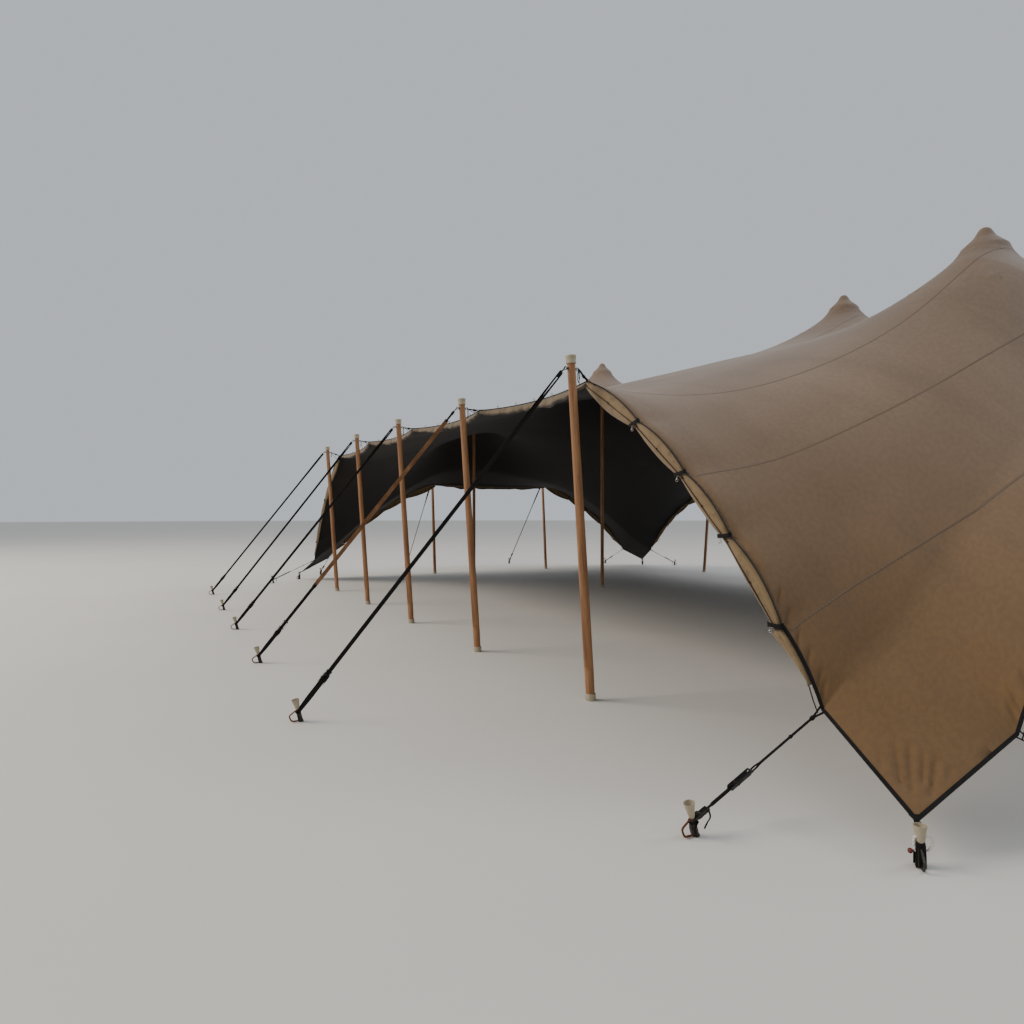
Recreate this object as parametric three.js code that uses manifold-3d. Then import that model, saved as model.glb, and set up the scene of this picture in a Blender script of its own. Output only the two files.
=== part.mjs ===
// Stretch tent: one elastic canopy raised on leaning perimeter poles and on centre poles, held
// down by strap guys, edge straps and stakes. The origin is at the middle of the plan on the
// ground, +X runs along the length, -Y is the high front side, +Z is up. Units are millimetres.
import * as THREE from 'three';
import { mergeVertices } from 'three/addons/utils/BufferGeometryUtils.js';
import Module from 'manifold-3d';

// Plan
const PITCH = 2362; // between neighbouring poles of a long side
const HALF_ROWS = 5100; // from the middle to the feet of a long side's poles
const HALF_ENDS = 7750; // from the middle to the feet of a short side's poles
const END_POLE_Y = 1750; // a short side's two poles stand this far from the middle
const CORNER = { x: 7710, y: 5290, z: 180 }; // the canopy's lowest points
const LONG_ANCHOR = { x: 7050, y: 5100, z: 510 }; // held down beside a corner, on a long side
const SHORT_ANCHOR = { x: 7800, y: 4600, z: 510 }; // and on a short side

// Heights of the perimeter poles, those of the front from its right end
const FRONT_HEIGHTS = [2980, 2965, 3015, 3040, 3025];
const BACK_HEIGHT = 2420;
const END_HEIGHT = 2620;

// Centre poles: plan place and height of the peak that each one makes
const PEAKS = [
  { name: 'right_end', x: 5960, y: -1390, z: 4370 },
  { name: 'right_middle', x: 2820, y: 800, z: 4940 },
  { name: 'left_middle', x: -2730, y: 250, z: 4940 },
  { name: 'left_end', x: -5960, y: -1390, z: 4140 },
];

// Canopy
const THICK = 10; // of the solid that stands for the cloth
const SEAM_GAP = 0.4; // between two neighbouring strips
const SEAT_GAP = 0.3; // between a fitting and the cloth that it holds
const BAY_STEPS = 6;
const ARCH_STEPS = 10;
const FOOT_STEPS = 2;
const END_BAY_STEPS = 8;
const END_ARCH_STEPS = 9;
const EAVE_INSET = 100; // how far the free eave draws in between two poles
const EAVE_DROP = 30;
const END_INSET = 180;
const END_DROP = 40;
const ARCH_RISE = 240; // how far the free edge bows above its chord
const END_POLE_SHIFT = 84; // the apex beside an arch sits this far towards the middle
const CONE_REACH = 700; // the head holds the cloth in a cone of this radius
const CONE_DROP = 1420; // whose fall would end at this depth
const CONE_FADE = 1330; // and which flattens out over about this distance
const PULL_REACH = 900; // the cloth's grid is drawn to a peak over about this distance
const RELAX_ROUNDS = 900;
const RELAX_RATE = 1.85;
const HEAD_REACH = 200; // nearer to a peak than this the cloth can't ease off its cone
const EASE_ROUNDS = 3;
const EASE_RATE = 0.5;

// Perimeter poles
const SIDES = 8;
const POLE_LEAN = 205; // how far the top leans outwards
const POLE_TOP_R = 36;
const POLE_FOOT_R = 42;
const CAP_R = 47;
const CAP_TALL = 72;
const FOOT_CAP_R = 46;
const FOOT_CAP_TALL = 60;
const EYE_DOWN = 115; // the strap eyes sit this far below the top
const EYE_REACH = 34; // and stand this far proud of the pole
const EYE_WIDE = 30;
const EYE_THICK = 10;
const APEX_DOWN = 195; // beside an arch the cloth's apex sits this far below the top
const ROW_APEX_DOWN = 135; // and elsewhere it is held close to the eye
const APEX_INSET = 30; // and this far inside the foot
const LINK_WIDE = 24;
const LINK_THICK = 8;

// Centre poles
const MAST_R = 38;
const MAST_NECK_R = 20;
const MAST_NECK_TALL = 120;

// Guys and stakes
const GUY_REACH = 2350; // from a pole's foot out to its stake
// how far a long side's stakes stand towards the left end, those of the front from its right end
const FRONT_DRIFTS = [540, 530, 590, 390, 520];
const BACK_DRIFT = 540;
const GUY_WIDE = 50;
const GUY_THICK = 6;
const HOOK = { radius: 16, long: 70 }; // at the guy's upper end
const HOOK_FLAT = HOOK.radius * Math.cos(Math.PI / SIDES); // from its axis to a flat side
const RATCHET = { wide: 62, long: 120, tall: 40 };
const RATCHET_AT = 0.905; // share of the guy's length, from its pole
const ANCHOR_REACH = 940; // from an edge anchor out to its stake
const ANCHOR_RATCHET_AT = 0.667;
const STAKE_R = 21;
const STAKE_TALL = 110;
const STAKE_CAP = { footR: 14, topR: 30, from: 96, to: 176 };
const STAKE_LEAN = 0.25; // a strap's stake leans away from its pull, by this slope
const STAKE_BASE_TALL = 12; // of its upright foot
const STRAP_ON_STAKE = 80; // height where a strap is looped on its stake
const LOOP = { bar: 5, out: 62, low: 8, high: 92 };
const CORNER_STAKE_LIFT = 14; // corner stakes stand this much taller
const CORNER_STAKE_OUT = 60; // and this far outside the cloth's corner

const wasm = await Module();
wasm.setup();

const COLOURS = {
  cloth: new THREE.MeshStandardMaterial({ color: 0x8a7460, roughness: 0.85, metalness: 0 }),
  timber: new THREE.MeshStandardMaterial({ color: 0xa87850, roughness: 0.6, metalness: 0 }),
  webbing: new THREE.MeshStandardMaterial({ color: 0x16161a, roughness: 0.8, metalness: 0 }),
  steel: new THREE.MeshStandardMaterial({ color: 0x77736c, roughness: 0.45, metalness: 0.9 }),
};

const vec = (x, y, z) => new THREE.Vector3(x, y, z);
const lerp = (a, b, t) => a.clone().lerp(b, t);

// Basic solids

function asSolid(geometry) {
  const bare = geometry.clone();
  bare.deleteAttribute('normal');
  bare.deleteAttribute('uv');
  const merged = mergeVertices(bare, 1e-3);
  return new wasm.Manifold(new wasm.Mesh({
    numProp: 3,
    vertProperties: new Float32Array(merged.attributes.position.array),
    triVerts: new Uint32Array(merged.index.array),
  }));
}

function fuse(geometries) {
  const [first, ...rest] = geometries.map(asSolid);
  const mesh = rest.reduce((sum, solid) => sum.add(solid), first).getMesh();
  const geometry = new THREE.BufferGeometry();
  geometry.setAttribute('position', new THREE.BufferAttribute(mesh.vertProperties, 3));
  geometry.setIndex(new THREE.BufferAttribute(mesh.triVerts, 1));
  return geometry;
}

// Places a shape whose axis is Y so that it runs from one point to another, with X across.
function stand(geometry, from, to, across) {
  const axis = to.clone().sub(from).normalize();
  const side = across.clone().addScaledVector(axis, -across.dot(axis)).normalize();
  const frame = new THREE.Matrix4().makeBasis(side, axis, side.clone().cross(axis));
  frame.setPosition(lerp(from, to, 0.5));
  return geometry.applyMatrix4(frame);
}

function bar(from, to, footR, topR, sides = SIDES) {
  const shape = new THREE.CylinderGeometry(topR, footR, from.distanceTo(to), sides);
  const across = Math.abs(to.x - from.x) > Math.abs(to.y - from.y) ? vec(0, 1, 0) : vec(1, 0, 0);
  return stand(shape, from, to, across);
}

function strap(from, to, wide, thick, across) {
  return stand(new THREE.BoxGeometry(wide, from.distanceTo(to), thick), from, to, across);
}

// Free edges of the canopy, each a run of spans that bow between the points that hold them

function spanPoints(from, to, steps, bow) {
  return Array.from({ length: steps }, (unused, i) => {
    const t = i / steps;
    return lerp(from, to, t).addScaledVector(bow, 4 * t * (1 - t));
  });
}

function archBow(low, high) {
  const chord = high.clone().sub(low);
  const flat = Math.hypot(chord.x, chord.y);
  const out = vec(-chord.x * chord.z / flat, -chord.y * chord.z / flat, flat);
  return out.setLength(ARCH_RISE);
}

function edgePoints(corner, anchor, apexes, archSteps, baySteps, bayBow, flip) {
  const points = [
    ...spanPoints(corner, anchor, FOOT_STEPS, vec(0, 0, 0)),
    ...spanPoints(anchor, apexes[0], archSteps, archBow(anchor, apexes[0])),
  ];
  for (let i = 0; i + 1 < apexes.length; i += 1) {
    points.push(...spanPoints(apexes[i], apexes[i + 1], baySteps, bayBow));
  }
  const last = apexes[apexes.length - 1];
  const farAnchor = anchor.clone().multiply(flip);
  const farCorner = corner.clone().multiply(flip);
  points.push(
    ...spanPoints(last, farAnchor, archSteps, archBow(farAnchor, last)),
    ...spanPoints(farAnchor, farCorner, FOOT_STEPS, vec(0, 0, 0)),
    farCorner,
  );
  return points;
}

const longXs = [2, 1, 0, -1, -2].map((i) => i * PITCH);
const longHeight = (side, k) => (side < 0 ? FRONT_HEIGHTS[k] : BACK_HEIGHT);
const longDrift = (side, k) => (side < 0 ? FRONT_DRIFTS[k] : BACK_DRIFT);

function longApexes(side) {
  return longXs.map((x, k) => {
    const byArch = Math.abs(x) > 1.5 * PITCH;
    const shift = byArch ? Math.sign(x) * END_POLE_SHIFT : 0;
    const down = byArch ? APEX_DOWN : ROW_APEX_DOWN;
    return vec(x - shift, side * (HALF_ROWS - APEX_INSET), longHeight(side, k) - down);
  });
}

function endApexes(end) {
  return [-1, 1].map((side) => (
    vec(end * (HALF_ENDS - APEX_INSET), side * END_POLE_Y, END_HEIGHT - APEX_DOWN)
  ));
}

function longEdge(side) {
  return edgePoints(
    vec(CORNER.x, side * CORNER.y, CORNER.z),
    vec(LONG_ANCHOR.x, side * LONG_ANCHOR.y, LONG_ANCHOR.z),
    longApexes(side), ARCH_STEPS, BAY_STEPS, vec(0, -side * EAVE_INSET, -EAVE_DROP),
    vec(-1, 1, 1),
  );
}

function endEdge(end) {
  return edgePoints(
    vec(end * CORNER.x, -CORNER.y, CORNER.z),
    vec(end * SHORT_ANCHOR.x, -SHORT_ANCHOR.y, SHORT_ANCHOR.z),
    endApexes(end), END_ARCH_STEPS, END_BAY_STEPS, vec(-end * END_INSET, 0, -END_DROP),
    vec(1, -1, 1),
  );
}

// The cloth: a grid hung between the four edges, drawn up into cones at the pole heads

function clothGrid() {
  const front = longEdge(-1);
  const back = longEdge(1);
  const right = endEdge(1);
  const left = endEdge(-1);
  const across = front.length - 1;
  const deep = right.length - 1;
  const grid = front.map((unused, i) => right.map((unusedToo, j) => {
    const u = i / across;
    const v = j / deep;
    const corners = lerp(lerp(front[0], front[across], u), lerp(back[0], back[across], u), v);
    const ruled = lerp(front[i], back[i], v).add(lerp(right[j], left[j], u));
    return ruled.sub(corners);
  }));
  const onEdge = (i, j) => i === 0 || j === 0 || i === across || j === deep;
  const held = grid.map((row, i) => row.map((unused, j) => onEdge(i, j)));

  for (const peak of PEAKS) {
    const place = vec(peak.x, peak.y, 0);
    const away = (p) => Math.hypot(p.x - place.x, p.y - place.y);
    const nearest = grid.flat().reduce((best, p) => (away(p) < away(best) ? p : best)).clone();
    grid.forEach((row, i) => row.forEach((p, j) => {
      if (onEdge(i, j)) return;
      const share = Math.exp(-((Math.hypot(p.x - nearest.x, p.y - nearest.y) / PULL_REACH) ** 2));
      p.x += share * (place.x - nearest.x);
      p.y += share * (place.y - nearest.y);
    }));
    grid.forEach((row, i) => row.forEach((p, j) => {
      if (away(p) > CONE_REACH) return;
      p.z = peak.z - CONE_DROP * (1 - Math.exp(-away(p) / CONE_FADE));
      held[i][j] = true;
    }));
  }

  const around = (heights, i, j) => (
    (heights[i - 1][j] + heights[i + 1][j] + heights[i][j - 1] + heights[i][j + 1]) / 4
  );
  const heights = grid.map((row) => row.map((p) => p.z));
  for (let round = 0; round < RELAX_ROUNDS; round += 1) {
    for (let i = 1; i < across; i += 1) {
      for (let j = 1; j < deep; j += 1) {
        if (!held[i][j]) heights[i][j] += RELAX_RATE * (around(heights, i, j) - heights[i][j]);
      }
    }
  }
  // The rim of each cone eases into the slopes, since the cloth is elastic.
  const onHead = (p) => PEAKS.some(({ x, y }) => Math.hypot(p.x - x, p.y - y) < HEAD_REACH);
  for (let round = 0; round < EASE_ROUNDS; round += 1) {
    const before = heights.map((row) => [...row]);
    for (let i = 1; i < across; i += 1) {
      for (let j = 1; j < deep; j += 1) {
        if (!onHead(grid[i][j])) heights[i][j] += EASE_RATE * (around(before, i, j) - before[i][j]);
      }
    }
  }
  grid.forEach((row, i) => row.forEach((p, j) => {
    p.z = heights[i][j];
  }));
  return grid;
}

const cloth = clothGrid();
const lastI = cloth.length - 1;
const lastJ = cloth[0].length - 1;
const step = (i, j, di, dj) => {
  const ahead = cloth[Math.min(i + di, lastI)][Math.min(j + dj, lastJ)];
  return ahead.clone().sub(cloth[Math.max(i - di, 0)][Math.max(j - dj, 0)]);
};
// Columns run towards -X and rows towards +Y, so this product points up.
const normals = cloth.map((row, i) => row.map((unused, j) => (
  step(i, j, 0, 1).cross(step(i, j, 1, 0)).normalize()
)));

// One strip of cloth between two columns of the grid, as a thin closed shell.
function clothStrip(fromI, toI) {
  const points = [];
  const rows = lastJ + 1;
  const columns = toI - fromI + 1;
  for (const face of [0.5, -0.5]) {
    for (let i = fromI; i <= toI; i += 1) {
      for (let j = 0; j <= lastJ; j += 1) {
        const p = cloth[i][j].clone().addScaledVector(normals[i][j], face * THICK);
        const inward = step(i, j, 1, 0).setLength(SEAM_GAP / 2);
        if (i === fromI && i > 0) p.add(inward);
        if (i === toI && i < lastI) p.sub(inward);
        points.push(p.x, p.y, p.z);
      }
    }
  }
  const top = (i, j) => i * rows + j;
  const under = (i, j) => top(i, j) + rows * columns;
  const triangles = [];
  const quad = (a, b, c, d) => triangles.push(a, b, c, a, c, d);
  for (let i = 0; i + 1 < columns; i += 1) {
    for (let j = 0; j < lastJ; j += 1) {
      quad(top(i, j), top(i, j + 1), top(i + 1, j + 1), top(i + 1, j));
      const flipped = [under(i, j), under(i + 1, j), under(i + 1, j + 1), under(i, j + 1)];
      triangles.push(flipped[0], flipped[2], flipped[3], flipped[0], flipped[1], flipped[2]);
    }
    quad(top(i, 0), top(i + 1, 0), under(i + 1, 0), under(i, 0));
    quad(top(i + 1, lastJ), top(i, lastJ), under(i, lastJ), under(i + 1, lastJ));
  }
  for (let j = 0; j < lastJ; j += 1) {
    const end = columns - 1;
    quad(top(0, j), under(0, j), under(0, j + 1), top(0, j + 1));
    quad(top(end, j), top(end, j + 1), under(end, j + 1), under(end, j));
  }
  const geometry = new THREE.BufferGeometry();
  geometry.setAttribute('position', new THREE.Float32BufferAttribute(points, 3));
  geometry.setIndex(triangles);
  return geometry;
}

// Where a fitting that comes from outside ends against the cloth's edge at one grid point.
function seatOnEdge(i, j, from, halfWide) {
  const held = cloth[i][j];
  const inward = held.clone().sub(from).normalize();
  const alongEdge = (i === 0 || i === lastI) ? [[0, 1], [0, -1]] : [[1, 0], [-1, 0]];
  const alongBoth = [...alongEdge, [1, 0], [-1, 0], [0, 1], [0, -1]];
  let proud = 0;
  for (const [di, dj] of alongBoth) {
    const next = cloth[i + di]?.[j + dj];
    if (!next) continue;
    const run = next.clone().sub(held).normalize();
    const lateral = Math.sqrt(Math.max(1 - run.dot(inward) ** 2, 0.01));
    proud = Math.max(proud, -run.dot(inward) * halfWide / lateral);
  }
  const swell = Math.abs(normals[i][j].dot(inward)) * THICK / 2;
  return held.clone().addScaledVector(inward, -(proud + swell + SEAT_GAP));
}

// Lowest height of the cloth's underside over a small ring around a point
function underside(x, y, radius) {
  const point = vec(x, y, 0);
  let lowest = Infinity;
  const probe = new THREE.Triangle();
  const weights = vec(0, 0, 0);
  const below = (i, j) => cloth[i][j].clone().addScaledVector(normals[i][j], -THICK / 2);
  for (let i = 0; i < lastI; i += 1) {
    for (let j = 0; j < lastJ; j += 1) {
      const near = cloth[i][j];
      if (Math.hypot(near.x - x, near.y - y) > 3 * CONE_REACH) continue;
      const [a, b, c, d] = [below(i, j), below(i, j + 1), below(i + 1, j + 1), below(i + 1, j)];
      for (const [p, q, r] of [[a, b, c], [a, c, d]]) {
        const flat = [p, q, r].map((corner) => vec(corner.x, corner.y, 0));
        probe.set(...flat);
        for (let k = 0; k < 4 * SIDES; k += 1) {
          const turn = k * Math.PI / (2 * SIDES);
          point.set(x + radius * Math.cos(turn), y + radius * Math.sin(turn), 0);
          if (!probe.containsPoint(point)) continue;
          probe.getBarycoord(point, weights);
          lowest = Math.min(lowest, p.z * weights.x + q.z * weights.y + r.z * weights.z);
        }
      }
    }
  }
  return lowest;
}

// Sub-parts

const tent = new THREE.Group();

function add(name, geometry, material) {
  const mesh = new THREE.Mesh(geometry, material);
  mesh.name = name;
  tent.add(mesh);
}

// A short stake with its cup cap, and the steel loop on its outer side
function stakeSolids(foot, out, lift, lean) {
  const at = (away, z) => foot.clone().addScaledVector(out, away + lean * z).setZ(z);
  const corners = [
    at(0, LOOP.low + LOOP.bar), at(LOOP.out, LOOP.low), at(LOOP.out, LOOP.high), at(0, LOOP.high),
  ];
  return [
    bar(foot, foot.clone().setZ(STAKE_BASE_TALL), STAKE_R, STAKE_R),
    bar(at(0, STAKE_BASE_TALL / 2), at(0, STAKE_TALL + lift), STAKE_R, STAKE_R),
    bar(at(0, STAKE_CAP.from + lift), at(0, STAKE_CAP.to + lift), STAKE_CAP.footR, STAKE_CAP.topR),
    ...[0, 1, 2].map((k) => bar(corners[k], corners[k + 1], LOOP.bar, LOOP.bar, 6)),
  ];
}

// Where a strap is looped round its leaning stake
function strapFoot(stake, out) {
  return stake.clone().addScaledVector(out, STAKE_LEAN * STRAP_ON_STAKE).setZ(STRAP_ON_STAKE);
}

// A strap with its hook and ratchet, from a fitting down to its own stake. An upright one has its
// width in the vertical plane, and the others lie level across.
function strapToStake(from, stake, out, ratchetAt, upright) {
  const foot = strapFoot(stake, out);
  const up = vec(0, 0, 1);
  const across = upright ? up : up.clone().cross(foot.clone().sub(from));
  const along = foot.clone().sub(from).normalize();
  const middle = lerp(from, foot, ratchetAt);
  const half = along.clone().multiplyScalar(RATCHET.long / 2);
  return fuse([
    bar(from, from.clone().addScaledVector(along, HOOK.long), HOOK.radius, HOOK.radius),
    strap(from.clone().addScaledVector(along, HOOK.long / 2), foot, GUY_WIDE, GUY_THICK, across),
    strap(middle.clone().sub(half), middle.clone().add(half), RATCHET.wide, RATCHET.tall, across),
    ...stakeSolids(stake, out, 0, STAKE_LEAN),
  ]);
}

// A leaning pole with its caps, the eyes near its top and the strap that carries the cloth
function perimeterPole(name, foot, out, height, gridI, gridJ, drift) {
  const at = (z) => foot.clone().addScaledVector(out, POLE_LEAN * z / height).setZ(z);
  const across = vec(-out.y, out.x, 0);
  const eye = at(height - EYE_DOWN);
  const outerEye = eye.clone().addScaledVector(out, POLE_TOP_R + EYE_REACH);
  const innerEye = eye.clone().addScaledVector(out, -POLE_TOP_R - EYE_REACH);
  const linkEnd = seatOnEdge(gridI, gridJ, innerEye, LINK_WIDE / 2);
  const top = at(height);
  const axis = top.clone().sub(at(0)).normalize();
  add(`${name}_pole`, fuse([
    bar(at(FOOT_CAP_TALL / 3), at(height - 1), POLE_FOOT_R, POLE_TOP_R),
    bar(top.clone().addScaledVector(axis, -CAP_TALL), top, CAP_R - 2, CAP_R),
    bar(foot.clone().setZ(0), foot.clone().setZ(FOOT_CAP_TALL), FOOT_CAP_R, FOOT_CAP_R),
    strap(innerEye, outerEye, EYE_THICK, EYE_WIDE, across),
    strap(innerEye.clone().addScaledVector(out, EYE_THICK), linkEnd, LINK_WIDE, LINK_THICK, across),
  ]), COLOURS.timber);

  const stake = foot.clone().addScaledVector(out, GUY_REACH).add(vec(drift, 0, 0));
  const pull = strapFoot(stake, out).sub(outerEye).normalize();
  const clear = SEAT_GAP + Math.abs(pull.z) * EYE_WIDE / 2 + Math.abs(pull.dot(across)) * EYE_THICK / 2;
  const start = outerEye.clone().addScaledVector(pull, clear);
  add(`${name}_guy`, strapToStake(start, stake, out, RATCHET_AT, true), COLOURS.webbing);
}

const longApexI = (k) => FOOT_STEPS + ARCH_STEPS + k * BAY_STEPS;
for (const [label, side] of [['front', -1], ['back', 1]]) {
  longXs.forEach((x, k) => {
    const foot = vec(x, side * HALF_ROWS, 0);
    const j = side < 0 ? 0 : lastJ;
    const out = vec(0, side, 0);
    const drift = -longDrift(side, k);
    perimeterPole(`${label}_${k + 1}`, foot, out, longHeight(side, k), longApexI(k), j, drift);
  });
}
for (const [label, end] of [['right', 1], ['left', -1]]) {
  [-1, 1].forEach((side, k) => {
    const foot = vec(end * HALF_ENDS, side * END_POLE_Y, 0);
    const j = FOOT_STEPS + END_ARCH_STEPS + k * END_BAY_STEPS;
    const i = end > 0 ? 0 : lastI;
    perimeterPole(`${label}_${k + 1}`, foot, vec(end, 0, 0), END_HEIGHT, i, j, 0);
  });
}

// Centre poles stand under the peaks, with a slim neck that carries the cloth's tip.
for (const { name, x, y } of PEAKS) {
  const top = underside(x, y, MAST_NECK_R) - SEAT_GAP;
  add(`${name}_mast`, fuse([
    bar(vec(x, y, 0), vec(x, y, FOOT_CAP_TALL), FOOT_CAP_R, FOOT_CAP_R),
    bar(vec(x, y, FOOT_CAP_TALL / 2), vec(x, y, top - MAST_NECK_TALL), MAST_R, MAST_R),
    bar(vec(x, y, top - 2 * MAST_NECK_TALL), vec(x, y, top), MAST_NECK_R, MAST_NECK_R, 4 * SIDES),
  ]), COLOURS.timber);
}

// Corners: a stake under the webbing corner, and a ratchet strap on either side of it
for (const [label, side] of [['front', -1], ['back', 1]]) {
  for (const [endLabel, end] of [['right', 1], ['left', -1]]) {
    const i = end > 0 ? 0 : lastI;
    const j = side < 0 ? 0 : lastJ;
    const out = vec(end, side, 0).normalize();
    const stake = cloth[i][j].clone().addScaledVector(out, CORNER_STAKE_OUT).setZ(0);
    const capTop = stake.clone().setZ(STAKE_CAP.to + CORNER_STAKE_LIFT - LINK_THICK);
    const tab = seatOnEdge(i, j, capTop, LINK_WIDE / 2);
    add(`${label}_${endLabel}_corner_stake`, fuse([
      ...stakeSolids(stake, out, CORNER_STAKE_LIFT, 0),
      strap(capTop, tab, LINK_WIDE, LINK_THICK, vec(-out.y, out.x, 0)),
    ]), COLOURS.steel);

    const anchors = [
      { along: 'row', i: end > 0 ? FOOT_STEPS : lastI - FOOT_STEPS, j, out: vec(0, side, 0) },
      { along: 'end', i, j: side < 0 ? FOOT_STEPS : lastJ - FOOT_STEPS, out: vec(end, 0, 0) },
    ];
    for (const anchor of anchors) {
      const held = cloth[anchor.i][anchor.j];
      const peg = held.clone().addScaledVector(anchor.out, ANCHOR_REACH).setZ(0);
      const start = seatOnEdge(anchor.i, anchor.j, strapFoot(peg, anchor.out), HOOK_FLAT);
      const solid = strapToStake(start, peg, anchor.out, ANCHOR_RATCHET_AT, false);
      add(`${label}_${endLabel}_${anchor.along}_strap`, solid, COLOURS.webbing);
    }
  }
}

// The canopy is cut into strips at the pole lines and half-way down each arch.
const HALF_ARCH = FOOT_STEPS + ARCH_STEPS / 2;
const cuts = [
  0, HALF_ARCH, ...longXs.map((unused, k) => longApexI(k)), lastI - HALF_ARCH, lastI,
];
for (let k = 0; k + 1 < cuts.length; k += 1) {
  add(`canopy_strip_${k + 1}`, clothStrip(cuts[k], cuts[k + 1]), COLOURS.cloth);
}

export default tent;
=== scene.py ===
import math
import bmesh
import bpy
import numpy as np
from mathutils import Matrix, Vector, noise
from mathutils.bvhtree import BVHTree


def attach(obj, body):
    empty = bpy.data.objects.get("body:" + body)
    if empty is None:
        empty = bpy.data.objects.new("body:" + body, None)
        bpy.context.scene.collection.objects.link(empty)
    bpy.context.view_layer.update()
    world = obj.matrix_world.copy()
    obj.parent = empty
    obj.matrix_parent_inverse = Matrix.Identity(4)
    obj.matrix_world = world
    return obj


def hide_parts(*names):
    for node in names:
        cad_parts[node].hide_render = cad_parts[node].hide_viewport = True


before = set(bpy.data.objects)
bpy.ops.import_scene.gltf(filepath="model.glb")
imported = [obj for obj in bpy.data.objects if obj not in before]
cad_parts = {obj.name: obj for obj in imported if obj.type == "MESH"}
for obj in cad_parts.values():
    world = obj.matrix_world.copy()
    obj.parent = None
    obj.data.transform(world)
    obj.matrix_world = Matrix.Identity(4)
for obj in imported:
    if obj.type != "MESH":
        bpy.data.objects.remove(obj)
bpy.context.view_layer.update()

# Viewpoint
# A hand-held camera at standing height, just outside the front right corner, looks along the
# front row of poles towards the left end.
VIEW_PLACE = (9.66, -8.44, 1.62)
VIEW_DIRECTION = Vector((-0.8871, 0.4616, 0))
PHOTO_WIDE, FOCAL_LENGTH, HORIZON_DOWN = 1024, 680, 2  # in the photograph's pixels


def placed(name, data):
    """A new object in the scene."""
    made = bpy.data.objects.new(name, data)
    bpy.context.scene.collection.objects.link(made)
    return made


camera = placed("photo_view", bpy.data.cameras.new("photo_view"))
camera.data.sensor_width = 36
camera.data.lens = FOCAL_LENGTH / PHOTO_WIDE * camera.data.sensor_width
camera.data.shift_y = HORIZON_DOWN / PHOTO_WIDE
camera.data.clip_end = 400
camera.location = VIEW_PLACE
camera.rotation_euler = VIEW_DIRECTION.to_track_quat("-Z", "Y").to_euler()
bpy.context.scene.camera = camera

# Floor
# A wide pale studio floor of sealed cement screed, a little mottled, so that the tent reads
# clearly against it.
FLOOR_REACH = 160


def colour(hex_code):
    """Linear colour of an sRGB hex code such as 8A7460."""
    parts = [int(hex_code[i:i + 2], 16) / 255 for i in (0, 2, 4)]
    return [p / 12.92 if p <= 0.04045 else ((p + 0.055) / 1.055) ** 2.4 for p in parts] + [1]


def finish(name):
    """A new material."""
    made = bpy.data.materials.new(name)
    made.use_nodes = True
    return made


def feed(owner, part, inputs):
    """Gives a node's inputs, by name or number, a value, a hex colour or another node's output."""
    for name, value in inputs.items():
        if isinstance(value, bpy.types.NodeSocket):
            owner.node_tree.links.new(value, part.inputs[name])
        else:
            part.inputs[name].default_value = colour(value) if isinstance(value, str) else value


def node(material, kind, inputs, output=0, **settings):
    """Adds a node and gives back one of its outputs. A Mix node mixes colours."""
    made = material.node_tree.nodes.new("ShaderNode" + kind)
    if kind == "Mix":
        made.data_type, output = "RGBA", 2
    for name, value in settings.items():
        setattr(made, name, value)
    feed(material, made, inputs)
    return made.outputs[output]


def shade(material, inputs):
    """Feeds a material's main shader."""
    feed(material, material.node_tree.nodes["Principled BSDF"], inputs)


screed = finish("sealed_cement_screed")
place = node(screed, "TexCoord", {}, "Object")
mottle = node(screed, "TexNoise", {"Vector": place, "Scale": 0.35, "Detail": 5})
grit = node(screed, "TexNoise", {"Vector": place, "Scale": 45, "Detail": 2})
shade(screed, {
    "Base Color": node(screed, "Mix", {0: mottle, 6: "CFCAC2", 7: "DAD6CF"}),
    "Normal": node(screed, "Bump", {"Height": grit, "Strength": 0.06, "Distance": 0.002}),
    "Roughness": 0.75,
})
bm = bmesh.new()
bmesh.ops.create_circle(bm, cap_ends=True, segments=64, radius=FLOOR_REACH)
floor_mesh = bpy.data.meshes.new("floor")
bm.to_mesh(floor_mesh)
bm.free()
floor_mesh.materials.append(screed)
placed("floor", floor_mesh)

# Light
# Plain studio light: a pale dome all round, one very large soft box in front on the left, and a
# weaker one high behind on the right that outlines the peaks.
SOFT_BOXES = [
    # place, point that it faces, side length, power in watts, colour
    ((-10, -30, 22), (1, 0, 1.5), 18, 9000, "FFF4E6"),
    ((12, 24, 22), (0, 0, 3), 14, 3500, "F2F5FF"),
]
world = bpy.data.worlds.new("studio_dome")
world.use_nodes = True
feed(world, world.node_tree.nodes["Background"], {"Color": "DDE3EA", "Strength": 0.75})
bpy.context.scene.world = world
for number, (box_place, target, side, watts, tint) in enumerate(SOFT_BOXES, 1):
    lamp = bpy.data.lights.new(f"soft_box_{number}", "AREA")
    lamp.shape = "SQUARE"
    lamp.size = side
    lamp.energy = watts
    lamp.color = colour(tint)[:3]
    box = placed(f"soft_box_{number}", lamp)
    box.location = box_place
    box.rotation_euler = (Vector(target) - Vector(box_place)).to_track_quat("-Z", "Y").to_euler()

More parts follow.
